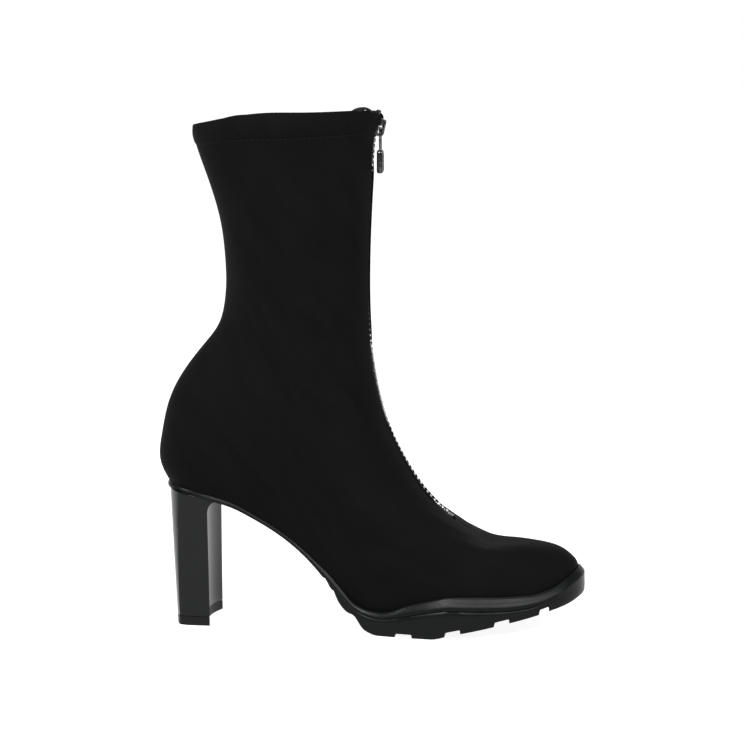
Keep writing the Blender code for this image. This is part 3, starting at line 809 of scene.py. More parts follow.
@dataclass(frozen=True)
class Lacquer(Coating):
    """Glossy lacquer over a moulded block, with a trace of orange peel."""

    rough: float = 0.18
    coat: float = 0.03
    specular: float = 0.135
    coat_rough: float = 0.06
    cloud_scale: float = 55.0
    cloud_rough: float = 0.05
    peel_scale: float = 420.0
    dust_scale: float = 1500.0
    dust_range: Span = (0.62, 0.80)
    dust_rough: float = 0.08
    depth: float = 0.05
    strength: float = 0.05

    def material(self) -> Finish:
        """The finish as a material."""
        bench = NodeBench.paint(self.name)
        place = bench.coords(Coords.OBJECT)
        cloud = bench.noise(place, self.cloud_scale, 2.0)
        peel = bench.noise(place, self.peel_scale, 1.0)
        dust = bench.noise(place, self.dust_scale, 2.0).between(*self.dust_range)
        return bench.coat({
            "Base Color": self.tint(bench, cloud),
            "Roughness": self.rough + cloud * self.cloud_rough + dust * self.dust_rough,
            "Normal": bench.relief(peel, self.depth * MM, self.strength),
            "Specular IOR Level": self.specular,
            "Coat Weight": self.coat,
            "Coat Roughness": self.coat_rough,
        })


@dataclass(frozen=True)
class WovenTape(Coating):
    """Woven zip tape in a herringbone of thick threads."""

    thread: float = 0.55
    rib: float = 2.0
    rough: float = 0.70
    specular: float = 0.12
    fibre_scale: float = 2400.0
    fibre_rough: float = 0.15
    twill_share: float = 0.4
    fibre_share: float = 0.4
    level: float = 0.4
    depth: float = 0.10
    strength: float = 0.5

    def material(self) -> Finish:
        """The finish as a material."""
        bench = NodeBench.paint(self.name)
        place = bench.coords(Coords.UV)
        across, along, _ = bench.parts(place)
        bone = across.zigzag(self.rib * MM)
        twill = ((along + bone) * (FULL_TURN / (self.thread * MM))).sine()
        fibre = bench.noise(place, self.fibre_scale, 2.0)
        height = twill * self.twill_share + fibre * self.fibre_share + self.level
        # The base colour follows the weave's height, so the hollows between threads carry painted
        # shade.
        return bench.coat({
            "Base Color": self.tint(bench, height),
            "Roughness": self.rough + fibre * self.fibre_rough,
            "Normal": bench.relief(height, self.depth * MM, self.strength),
            "Specular IOR Level": self.specular,
        })


@dataclass(frozen=True)
class Metal(Coating):
    """Polished plated metal with fine scratches; its mottled base colour is partly painted glints.
    """

    rough: float
    pebble: float = 0.0
    tone_glint_mottle: float = 3.0
    mottle_range: Span = (0.35, 0.65)
    scratch_scale: float = 5200.0
    scratch_stretch: Place = (1.0, 1.0, 0.08)
    scratch_share: float = 0.3
    scratch_rough: float = 0.10
    pebble_share: float = 1.2
    depth: float = 0.08
    strength: float = 0.12
    pebble_strength: float = 0.4

    def material(self) -> Finish:
        """The finish as a material."""
        bench = NodeBench.paint(self.name)
        place = bench.coords(Coords.OBJECT)
        # The base colour's noise mottle is partly painted glints, widest on the dark nickels.
        cloud = bench.noise(place, 1.0 / (self.tone_glint_mottle * MM), 3.0)
        stretch = {"Vector": place, "Scale": self.scratch_stretch}
        stretched = bench.node("ShaderNodeMapping", {}, stretch).outputs[0]
        scratch = bench.noise(stretched, self.scratch_scale, 1.0)
        height, strength = scratch * self.scratch_share, self.strength
        if self.pebble:
            height = height + bench.cells(place, 1.0 / (self.pebble * MM)) * self.pebble_share
            strength = self.pebble_strength
        return bench.coat({
            "Base Color": self.tint(bench, cloud.between(*self.mottle_range)),
            "Roughness": self.rough + scratch * self.scratch_rough,
            "Metallic": 1.0,
            "Normal": bench.relief(height, self.depth * MM, strength),
        })


@dataclass(frozen=True)
class Thread(Coating):
    """Twisted sewing thread."""

    rough: float = 0.52
    specular: float = 0.08
    pitch: float = 0.42
    slant: Span = (0.7, 1.3)
    twist_shade: float = 0.6
    fibre_scale: float = 3800.0
    fibre_share: float = 0.4
    fibre_rough: float = 0.16
    depth: float = 0.05
    strength: float = 0.5

    def material(self) -> Finish:
        """The finish as a material."""
        bench = NodeBench.paint(self.name)
        place = bench.coords(Coords.OBJECT)
        x, y, z = bench.parts(place)
        run = x + y * self.slant[0] + z * self.slant[1]
        twist = (run * (FULL_TURN / (self.pitch * MM))).sine() * 0.5 + 0.5
        fibre = bench.noise(place, self.fibre_scale, 1.0)
        # The base colour follows the twist, darker in its grooves: painted shade between the plies.
        tone = twist * self.twist_shade + fibre * self.fibre_share
        return bench.coat({
            "Base Color": self.tint(bench, tone),
            "Roughness": self.rough + fibre * self.fibre_rough,
            "Normal": bench.relief(twist, self.depth * MM, self.strength),
            "Specular IOR Level": self.specular,
        })


@dataclass(frozen=True)
class StudioPaint(Coating):
    """Plain pale top of the studio's light table."""

    glow: float = 0.92
    rough: float = 0.62
    specular: float = 0.2
    cloud_scale: float = 1.2
    cloud_rough: float = 0.1

    def material(self) -> Finish:
        """The finish as a material."""
        bench = NodeBench.paint(self.name)
        cloud = bench.noise(bench.coords(Coords.OBJECT), self.cloud_scale, 2.0)
        return bench.coat({
            "Base Color": self.tint(bench, cloud),
            "Roughness": self.rough + cloud * self.cloud_rough,
            "Specular IOR Level": self.specular,
            "Emission Color": (1.0, 1.0, 1.0, 1.0),
            "Emission Strength": self.glow,
        })


class Paints:
    """All finishes of the boot, made once."""

    def __init__(self) -> None:
        """Make the materials."""
        self.jersey = Jersey("stretch jersey", grey(0.0015), grey(0.0023)).material()
        self.lining = Jersey("knit lining", grey(0.0014), grey(0.0022), loop=0.9).material()
        self.insole = Jersey(
            "insole cloth", grey(0.007), grey(0.011), loop=1.1, sheen=0.06, specular=0.15
        ).material()
        self.thread = Thread("black thread", grey(0.0024), grey(0.0046)).material()
        self.tread = Rubber(
            "tread rubber", (0.0018, 0.0020, 0.0021), (0.0032, 0.0035, 0.0037), rough=0.26
        ).material()
        self.lift = Rubber(
            "lift rubber", grey(0.0040), grey(0.0070), rough=0.40, grain=0.35, relief=0.15
        ).material()
        self.lacquer = Lacquer(
            "heel lacquer", (0.0024, 0.0026, 0.0027), (0.0036, 0.0038, 0.0040)).material()
        self.tape = WovenTape("zip tape weave", grey(0.004), grey(0.011)).material()
        self.silver = Metal(
            "silver teeth", (0.52, 0.52, 0.51), (0.80, 0.80, 0.78), rough=0.20).material()
        self.clip = Metal("dulled silver", grey(0.07), (0.14, 0.14, 0.135), rough=0.34).material()
        # On the dark and pebbled nickel the wide dark-to-light mottle is painted speckled glints.
        self.dark = Metal("dark nickel", grey(0.006), grey(0.14), rough=0.20, tone_glint_mottle=1.1).material()
        self.pebbled = Metal(
            "pebbled nickel", grey(0.004), grey(0.09), rough=0.20, pebble=0.9, tone_glint_mottle=1.1
        ).material()
        self.floor = StudioPaint("studio floor", grey(0.28), grey(0.30)).material()


def lay_sheet(
        bm: Mesh, points: Array, uvs: Array | None = None
) -> list[list[bmesh.types.BMVert]]:
    """Grid laid over a table of points.

    Args:
        bm: Mesh that the grid goes into.
        points: Rows and columns of points.
        uvs: Texture places of the same points, if the piece has a woven finish.

    Returns:
        The grid's vertices in rows and columns.
    """
    rows, columns = points.shape[:2]
    made = bmesh.ops.create_grid(bm, x_segments=columns - 1, y_segments=rows - 1, size=1.0)["verts"]
    where = {}
    laid = [[made[0]] * columns for _ in range(rows)]
    for vert in made:
        i = round((vert.co.y + 1) / 2 * (rows - 1))
        j = round((vert.co.x + 1) / 2 * (columns - 1))
        vert.co = points[i, j]
        laid[i][j] = vert
        where[vert] = (i, j)
    if uvs is not None:
        layer = bm.loops.layers.uv.verify()
        for face in {face for vert in made for face in vert.link_faces}:
            for loop in face.loops:
                loop[layer].uv = uvs[where[loop.vert]]
    return laid


def lay_lid(bm: Mesh, ring: Array, rungs: int, sag: float = 0.0) -> None:
    """Lid over a ring that runs up one side and back down the other.

    Args:
        bm: Mesh that the lid goes into.
        ring: Points of the ring, with the first point repeated at the end.
        rungs: Faces from one side to the other.
        sag: How far the lid's middle lies below its edges.
    """
    half = (len(ring) - 1) // 2
    there, back = ring[: half + 1], ring[half:][::-1]
    share = np.linspace(0.0, 1.0, rungs + 1)[:, None, None]
    points = there[None] * (1 - share) + back[None] * share
    points[..., 2] -= sag * (4 * share * (1 - share))[..., 0]
    lay_sheet(bm, points)


def face_out(bm: Mesh) -> None:
    """Turn the faces outwards."""
    bmesh.ops.recalc_face_normals(bm, faces=bm.faces)


def close_up(bm: Mesh) -> None:
    """Merge what lies in one place and turn the faces outwards."""
    bmesh.ops.remove_doubles(bm, verts=bm.verts, dist=MERGE)
    bmesh.ops.dissolve_degenerate(bm, edges=bm.edges, dist=SLIVER)
    face_out(bm)


def stack_rings(rings: Sequence[Array], rungs: int, sag: float = 0.0) -> Mesh:
    """Closed solid through rings of equal count, with a lid on the first and the last.

    Args:
        rings: Rings from one end to the other, each with its first point repeated.
        rungs: Faces across each lid.
        sag: How far the last lid's middle lies below its edges.

    Returns:
        The solid.
    """
    bm = bmesh.new()
    lay_sheet(bm, np.stack(rings))
    lay_lid(bm, rings[0], rungs)
    lay_lid(bm, rings[-1], rungs, sag)
    close_up(bm)
    return bm


def add_cell(bm: Mesh, matrix: Matrix, size: Sequence[float]) -> list[bmesh.types.BMVert]:
    """Box in a local frame.

    Args:
        bm: Mesh that the box goes into.
        matrix: Frame of the box, at its middle.
        size: Its three sizes.

    Returns:
        The box's vertices.
    """
    place = matrix @ Matrix.Diagonal((*size, 1.0))
    return bmesh.ops.create_cube(bm, size=1.0, matrix=place)["verts"]


def add_shaped(bm: Mesh, cuts: int, shape: Callable[[float, float, float], Place]) -> None:
    """Cube from -1 to 1, cut into a fine lattice and reshaped.

    Args:
        bm: Mesh that the shape goes into.
        cuts: How many times each edge is cut.
        shape: Where a point of the cube goes.
    """
    cell = bmesh.new()
    bmesh.ops.create_cube(cell, size=2.0)
    bmesh.ops.subdivide_edges(cell, edges=cell.edges[:], cuts=cuts, use_grid_fill=True)
    for vert in cell.verts:
        vert.co = shape(*vert.co)
    face_out(cell)
    mesh = bpy.data.meshes.new("shape")
    cell.to_mesh(mesh)
    cell.free()
    bm.from_mesh(mesh)
    bpy.data.meshes.remove(mesh)


def sharp_edges(bm: Mesh, degrees: float) -> list[bmesh.types.BMEdge]:
    """Edges whose faces turn by more than an angle."""
    limit = math.radians(degrees)
    return [edge for edge in bm.edges if edge.is_manifold and edge.calc_face_angle() > limit]


def round_edges(
        bm: Mesh, edges: Sequence[bmesh.types.BMEdge], width: float, segments: int
) -> None:
    """Round off edges.

    Args:
        bm: Mesh.
        edges: Edges to round.
        width: Width that the rounding takes off each face.
        segments: Faces round the edge.
    """
    bmesh.ops.bevel(
        bm, geom=list(edges), offset=width, offset_type="OFFSET", segments=segments, profile=0.5,
        affect="EDGES", clamp_overlap=True, material=-1)


def finish_piece(
        bm: Mesh, name: str, coats: Sequence[Finish], crease: Crease = Crease.MOULDED
) -> Piece:
    """Object in metres from a mesh in millimetres.

    Args:
        bm: Mesh, which is freed.
        name: Name of the piece.
        coats: Its materials.
        crease: Edges that turn by more than this angle stay sharp.

    Returns:
        The object.
    """
    bmesh.ops.scale(bm, vec=(MM, MM, MM), verts=bm.verts)
    mesh = bpy.data.meshes.new(name)
    bm.to_mesh(mesh)
    bm.free()
    for coat in coats:
        mesh.materials.append(coat)
    mesh.shade_smooth()
    mesh.set_sharp_from_angle(angle=math.radians(crease.value))
    piece = bpy.data.objects.new(name, mesh)
    bpy.context.scene.collection.objects.link(piece)
    return piece


def hand_over(piece: Piece, body: Body, slot: Slot, *nodes: str) -> Piece:
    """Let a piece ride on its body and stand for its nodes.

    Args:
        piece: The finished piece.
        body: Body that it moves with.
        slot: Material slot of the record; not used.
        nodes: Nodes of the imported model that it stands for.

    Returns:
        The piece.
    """
    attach(piece, body.value)
    if nodes:
        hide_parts(*nodes)
    LOG.info("%s: %d faces, rides on %s", piece.name, len(piece.data.polygons), body.value)
    return piece


def sweep(
        bm: Mesh, path: Array, across: Array, half: Span, closed: bool, columns: int = 17,
        squareness: float = 0.72
) -> None:
    """Bar with a rounded square section along a flat path.

    Args:
        bm: Mesh that the bar goes into.
        path: Points of the path.
        across: Unit vector square to the path's plane.
        half: Half the bar's width in the plane and across it.
        closed: Whether the path is a loop.
        columns: Points round the section, with the first repeated.
        squareness: 0 for a round section and 1 for a square one.
    """
    if closed:
        ahead, behind = np.roll(path, -1, axis=0), np.roll(path, 1, axis=0)
    else:
        ahead, behind = np.vstack((path[1:], path[-1:])), np.vstack((path[:1], path[:-1]))
    sides = np.cross(unit(ahead - behind), across)
    angles = np.linspace(0.0, FULL_TURN, columns)
    round_off = np.maximum(np.abs(np.cos(angles)), np.abs(np.sin(angles))) ** squareness
    u, v = np.cos(angles) / round_off * half[0], np.sin(angles) / round_off * half[1]
    points = path[:, None] + sides[:, None] * u[None, :, None]
    points = points + across[None, None] * v[None, :, None]
    if closed:
        points = np.concatenate((points, points[:1]))
    lay_sheet(bm, points)


@dataclass
class Assembly:
    """Pieces that belong together and are built on the boot's form."""

    form: BootForm
    paints: Paints


@dataclass
class StretchUpper(Assembly):
    """Stretch upper: the shell with its folded collar hem and its slit, and its stitches."""

    spare_wall: float = 0.9
    least_depth: float = 0.1
    hem_step: float = 0.32
    hem_ramp: Span = (-1.2, 2.6)
    hem_swell: float = 0.30
    hem_fold: float = 0.8
    fold_rows: float = 0.25
    stitch_groove: float = 0.24
    groove_half: float = 0.75
    slit_half: float = 5.0
    slit_end_half: float = 2.6
    slit_round: float = 5.0
    strip_fade: float = 30.0
    edge_reach: float = 3.6
    edge_rows: Table = (
        6.0, 6.55, 6.9, 8.6, 9.0, 9.7, 10.2, 12.3, 12.6, 13.0, 13.35, 13.7, 14.0)
    near_dips: Table = (
        0.10, 0.00, -0.75, -0.75, 0.10, 0.20, -0.30, -0.30, 0.40, 0.45, 0.10, -1.00, -1.50)
    far_dips: Table = (
        0.60, 0.50, 0.20, 0.20, 0.60, 0.60, -0.30, -0.30, 0.40, 0.45, 0.10, -1.00, -1.50)
    edge_open: Span = (-1.0, 6.0)
    ridge_drops: Span = (0.5, 1.3)
    ridge_rows: Zone = Zone((5.4, 0.9), (8.0, 2.0))
    ridge_half: float = 12.0
    ridge_width: float = 60.0
    front_rise: float = 0.8
    front_zone: Zone = Zone((6.0, 0.8), (8.6, 1.6))
    front_width: float = 30.0
    vamp_place: float = 68.6
    vamp_dip: float = 2.3
    dip_length: float = 10.0
    dip_width: float = 46.0
    vamp_fill: float = 0.35
    vamp_rows: Zone = Zone((1.0, 2.0), (4.9, 1.0))
    vamp_width: float = 40.0
    pucker: float = 0.45
    pucker_length: float = 11.0
    pucker_half: float = 2.2
    seam_row: float = 13.13
    collar_roll: float = 1.7
    roll_reach: float = 9.0
    near_lift: float = 2.0
    near_zone: Zone = Zone((0.10, 0.20), (0.86, 0.10))
    near_width: float = 12.0
    flap_drop: float = 3.75
    flap_round: float = 0.96
    flap_reach: float = 8.5
    seam_groove: float = 0.30
    seam_half: float = 0.8
    seam_fade: float = 0.6
    rim_round: float = 0.55
    rim_angle: float = 62.0
    rows_per_step: int = 11
    least_step: float = 0.02
    slit_steps: Table = (-0.06, -0.03, 0.0, 0.015, 0.04, 0.07, 0.11, 0.16, 0.21)
    hem_span: Span = (-0.16, 0.20)
    hem_rows: int = 13
    collar_steps: Table = (0.20, 0.14, 0.09, 0.05, 0.02)
    seam_columns: Table = (0.0, 0.45, 0.9, 1.5, 2.3, 3.4)
    lip_columns: Table = (6.2, 4.6, 3.4, 2.4, 1.6, 0.8, 0.0)
    side_columns: int = 74
    strip_columns: int = 4
    stitch_pitch: float = 3.3
    stitch_size: Place = (2.0, 0.44, 0.30)
    stitch_lift: float = 0.05
    stitch_columns: int = 4
    stitch_margins: Span = (4.0, 2.0)
    first_stitch: float = 0.16
    back_rise: float = 1.9
    back_bell: Span = (0.30, 0.21)
    back_start: float = 0.12
    back_rows: Span = (1.5, 2.5)

    def rows(self) -> Array:
        """Rows of the shell, closer together at the slit's end, the hem and the collar."""
        last = self.form.collar_row
        even = np.linspace(0.0, last, int(last) * self.rows_per_step + 1)
        slit = self.form.slit_row + np.array(self.slit_steps)
        hem = self.seam_row + np.linspace(*self.hem_span, self.hem_rows)
        special = np.concatenate((slit, hem, last - np.array(self.collar_steps)))
        even = [row for row in even if np.min(np.abs(special - row)) > self.least_step]
        return np.sort(np.concatenate((even, special)))

    def slit_width(self, row: float, run: float) -> float:
        """Half width of the slit, or of the strip below it.

        Args:
            row: Row of the shell.
            run: Distance along the front line from the slit's end, positive upwards.

        Returns:
            The half width.
        """
        if row >= self.form.slit_row:
            share = min(1.0, max(0.0, run / self.slit_round))
            grown = math.sqrt(1 - (1 - share) ** 2)
        else:
            grown = float(ease(-run / self.strip_fade))
        return part_way(self.slit_end_half, self.slit_half, grown)

    def column_turns(self, ring: Ring, width: float) -> Array:
        """Angles of one side's columns, close together at the back seam and at the slit's edge.

        Args:
            ring: Ring of the row.
            width: Half width of the slit there.

        Returns:
            The angles from the back to the front.
        """
        edge = ring.turn_at(width)
        fine, run = ring.runs(edge)
        seam, lip = np.array(self.seam_columns), run[-1] - np.array(self.lip_columns)
        even = np.linspace(seam[-1], lip[0], self.side_columns + 2)[1:-1]
        side = np.interp(np.concatenate((seam, even, lip)), run, fine)
        return np.concatenate((side, np.linspace(edge, math.pi, self.strip_columns + 1)[1:]))

    def surface(self) -> tuple[Array, Array, Array, Array]:
        """Face of the shell.

        Returns:
            The rows, the points, the texture places and how far each point stands out.
        """
        form, rows = self.form, self.rows()
        front = run_along(form.table(rows)[:, 2:4])
        front -= np.interp(form.slit_row, rows, front)
        points, lengths = [], []
        for row, run in zip(rows, front):
            ring = form.ring(float(row))
            turns = self.column_turns(ring, self.slit_width(float(row), float(run)))
            points.append(ring.points(*round_trip(turns)))
            around = run_along(points[-1])
            lengths.append(around - around[len(turns) - 1])
        points, around = np.stack(points), np.stack(lengths)
        climb = np.linalg.norm(np.diff(points, axis=0), axis=2)
        along = np.concatenate((np.zeros((1, points.shape[1])), np.cumsum(climb, axis=0)))
        out = self.relief(rows, points, around, along, front)
        shaped = points + self.face_normals(points) * out[..., None]
        shaped[..., 2] += self.collar_lift(rows, points) - self.flap_fall(rows, around)
        return rows, shaped, np.stack((around, along), axis=-1) * MM, out

    def face_normals(self, points: Array) -> Array:
        """Outward normals of a closed sheet.

        Args:
            points: Rows and columns of points, with the first column repeated at the end.

        Returns:
            One unit normal for each point.
        """
        wrapped = np.concatenate((points[:, -2:-1], points, points[:, 1:2]), axis=1)
        around = wrapped[:, 2:] - wrapped[:, :-2]
        return unit(np.cross(around, np.gradient(points, axis=0)))

    def from_slit(self, around: Array) -> Array:
        """Distance from the slit's edge of each point, measured round the ring."""
        edge = len(around[0]) // 2 - self.strip_columns
        return np.maximum(np.abs(around) - np.abs(around[:, edge : edge + 1]), 0.0)

    def collar_lift(self, rows: Array, points: Array) -> Array:
        """How far the collar line arches up towards the back and along the near side.

        Args:
            rows: Rows of the shell.
            points: Points of the plain form.

        Returns:
            The height added to each point.
        """
        collar = points[-1, :, 0]
        share = (collar - collar.min()) / (collar.max() - collar.min())
        middle, half = self.back_bell
        arch = self.back_rise * bell(share - middle, half) * ease(share / self.back_start)
        flank = self.near_zone(share) * ease(-points[-1, :, 1] / self.near_width)
        top = ramp(rows, self.seam_row, rows[-1] - self.seam_row)
        before, length = self.back_rows
        lift = arch[None] * ease((rows - self.form.hem_row + before) / length)[:, None]
        return lift + self.near_lift * flank[None] * top[:, None]

    def flap_fall(self, rows: Array, around: Array) -> Array:
        """How far the rounded flap corners lie below the collar line.

        Args:
            rows: Rows of the shell.
            around: Distance of each point from the front line, round its ring.

        Returns:
            The height taken off each point.
        """
        near = np.clip(1 - self.from_slit(around) / self.flap_reach, 0.0, 1.0)
        corner = 1 - np.sqrt(1 - self.flap_round * near**2)
        return self.flap_drop * corner * ease(rows - self.form.hem_row)[:, None]

    def relief(
            self, rows: Array, points: Array, around: Array, along: Array, front: Array
    ) -> Array:
        """How far each point of the face stands out from the plain form.

        Args:
            rows: Rows of the shell.
            points: Points of the plain form.
            around: Distance of each point from the front line, round its ring.
            along: Distance of each point from the sole, up its column.
            front: Distance of each row from the slit's end, up the front line.

        Returns:
            The distances, positive outwards.
        """
        hem_line = np.array([np.interp(self.seam_row, rows, column) for column in along.T])
        above = along - hem_line[None]
        width = np.maximum(along[-1] - hem_line, 1.0)[None]
        hem = self.hem_step * ramp(above, *self.hem_ramp)
        hem += self.hem_swell * np.sin(np.pi * np.clip(above / width, 0.0, 1.0))
        hem -= self.stitch_groove * bell(above, self.groove_half)
        from_rim = (along[-1][None] - along) / self.roll_reach
        hem -= self.collar_roll * np.clip(1 - from_rim, 0.0, 1.0) ** 2
        seam = np.max(np.abs(around), axis=1, keepdims=True) - np.abs(around)
        shell = ramp(rows, self.form.rand_row, self.seam_fade)[:, None]
        groove = -self.seam_groove * bell(seam, self.seam_half) * shell
        lip = 1 - ease(self.from_slit(around) / self.edge_reach)
        open_rows = ramp(front, *self.edge_open)[:, None]
        tables = (self.near_dips, self.far_dips)
        near, far = (SteadyLine(self.edge_rows, dips)(rows)[:, None] for dips in tables)
        dip = -np.where(around < 0, near, far) * lip * open_rows
        crease = bell(points[..., 0] - self.vamp_place, self.dip_length)
        dip = dip - self.vamp_dip * crease * bell(around, self.dip_width)
        flanks = (1 - bell(around, self.ridge_half)) * bell(around, self.ridge_width)
        drops = np.where(around < 0, *self.ridge_drops)
        dip = dip - drops * self.ridge_rows(rows)[:, None] * flanks
        lift = self.front_rise * self.front_zone(rows)[:, None]
        dip = dip + lift * bell(around, self.front_width)
        fill = self.vamp_fill * self.vamp_rows(rows)[:, None]
        dip = dip + fill * bell(around, self.vamp_width)
        below = np.clip(-front / self.pucker_length, 0.0, 1.0)[:, None]
        pucker = -self.pucker * bell(around, self.pucker_half) * np.sin(np.pi * below)
        return hem + groove + dip + pucker * (front < 0)[:, None]

    def build_shell(self) -> Piece:
        """Shell of the upper with its wall, lining and rounded rims."""
        rows, points, uvs, out = self.surface()
        bm = bmesh.new()
        depth = bm.verts.layers.deform.verify()
        laid = lay_sheet(bm, points, uvs)
        deepest = self.form.wall + self.hem_fold + self.spare_wall
        hem = ramp(rows, self.seam_row, self.fold_rows)[:, None]
        depths = self.form.wall + out + self.hem_fold * hem
        depths = np.clip(depths / deepest, self.least_depth, 1.0)
        for verts, shares in zip(laid, depths):
            for vert, share in zip(verts, shares):
                vert[depth][0] = float(share)
        middle = len(laid[0]) // 2
        strip = range(middle - self.strip_columns + 1, middle + self.strip_columns)
        first = int(np.argmin(np.abs(rows - self.form.slit_row))) + 1
        doomed = [laid[i][j] for i in range(first, len(laid)) for j in strip]
        bmesh.ops.delete(bm, geom=doomed, context="VERTS")
        seam = [row[j] for row in laid for j in (0, -1)]
        bmesh.ops.remove_doubles(bm, verts=seam, dist=MERGE / 2)
        coats = (self.paints.jersey, self.paints.lining)
        piece = finish_piece(bm, "upper_shell", coats, Crease.CLOTH)
        piece.vertex_groups.new(name="wall depth")
        self.thicken(piece, deepest)
        return hand_over(piece, Body.BOOT, Slot.FABRIC, "upper")

    def thicken(self, piece: Piece, deepest: float) -> None:
        """Give the shell its wall and its rolled rims.

        Args:
            piece: The shell's face.
            deepest: Wall where the depth group is 1.
        """
        wall = piece.modifiers.new("wall", "SOLIDIFY")
        wall.thickness = deepest * MM
        wall.offset = -1.0
        wall.use_even_offset = True
        wall.use_quality_normals = True
        wall.vertex_group = "wall depth"
        wall.material_offset = 1
        wall.material_offset_rim = 0
        rim = piece.modifiers.new("rolled rims", "BEVEL")
        rim.width = self.rim_round * MM
        rim.segments = 3
        rim.limit_method = "ANGLE"
        rim.angle_limit = math.radians(self.rim_angle)

    def stitch_line(self, bm: Mesh, places: Array, normals: Array) -> None:
        """Row of stitches along a line of points.

        Args:
            bm: Mesh that the stitches go into.
            places: Middle of each stitch.
            normals: Outward normal at each stitch.
        """
        length, width, height = self.stitch_size
        headings = np.gradient(places, axis=0)
        for place, heading, normal in zip(places, headings, normals):
            out = Vector(normal).normalized()
            ahead = Vector(heading)
            ahead = (ahead - out * ahead.dot(out)).normalized()
            turned = Matrix((ahead, out.cross(ahead), out)).transposed().to_4x4()
            turned.translation = Vector(place)
            sized = turned @ Matrix.Diagonal((length / 2, width / 2, height / 2, 1.0))
            bmesh.ops.create_uvsphere(bm, u_segments=8, v_segments=4, radius=1.0, matrix=sized)

    def build_stitches(self) -> Piece:
        """Stitches of the collar hem and along both edges of the slit."""
        rows, points, _, _ = self.surface()
        normals = self.face_normals(points)
        middle = points.shape[1] // 2
        near, far = middle - self.strip_columns, middle + self.strip_columns
        hem_margin, slit_margin = self.stitch_margins
        bm = bmesh.new()
        hem = int(np.argmin(np.abs(rows - self.seam_row)))
        ring, outs = (np.concatenate((table[hem, far:], table[hem, 1 : near + 1]))
                      for table in (points, normals))
        self.stitch_line(bm, *self.spaced(ring, outs, hem_margin))
        first = int(np.argmin(np.abs(rows - self.form.slit_row - self.first_stitch)))
        for column in (near - self.stitch_columns, far + self.stitch_columns):
            line, outs = points[first:, column], normals[first:, column]
            self.stitch_line(bm, *self.spaced(line, outs, slit_margin))
        piece = finish_piece(bm, "seam_stitches", (self.paints.thread,), Crease.CLOTH)
        return hand_over(piece, Body.BOOT, Slot.FABRIC)

    def spaced(self, line: Array, normals: Array, margin: float) -> tuple[Array, Array]:
        """Places for stitches at an even pitch.

        Args:
            line: Points of the line.
            normals: Outward normals at the points.
            margin: Length left free at both ends.

        Returns:
            The places and the normals there.
        """
        run = run_along(line)
        count = int((run[-1] - 2 * margin) / self.stitch_pitch)
        at = np.linspace(margin, run[-1] - margin, count + 1)
        places, outs = (np.stack([np.interp(at, run, part) for part in source.T], axis=1)
                        for source in (line, normals))
        return places + outs * self.stitch_lift, outs

    def build(self) -> list[Piece]:
        """All pieces of the upper."""
        return [self.build_shell(), self.build_stitches()]


@dataclass(frozen=True)
class Level:
    """Level of the sole's side: how far out, and where its height lies between two lines."""

    out: float
    first: str
    second: str
    share: float


@dataclass(frozen=True)
class Channel:
    """Channel across the tread: its middle and length along the boot, and its depth.

    A channel of the tread ends at a distance from the boot's middle line, its stop.
    """

    x: float
    length: float
    depth: float
    stop: float = 0.0


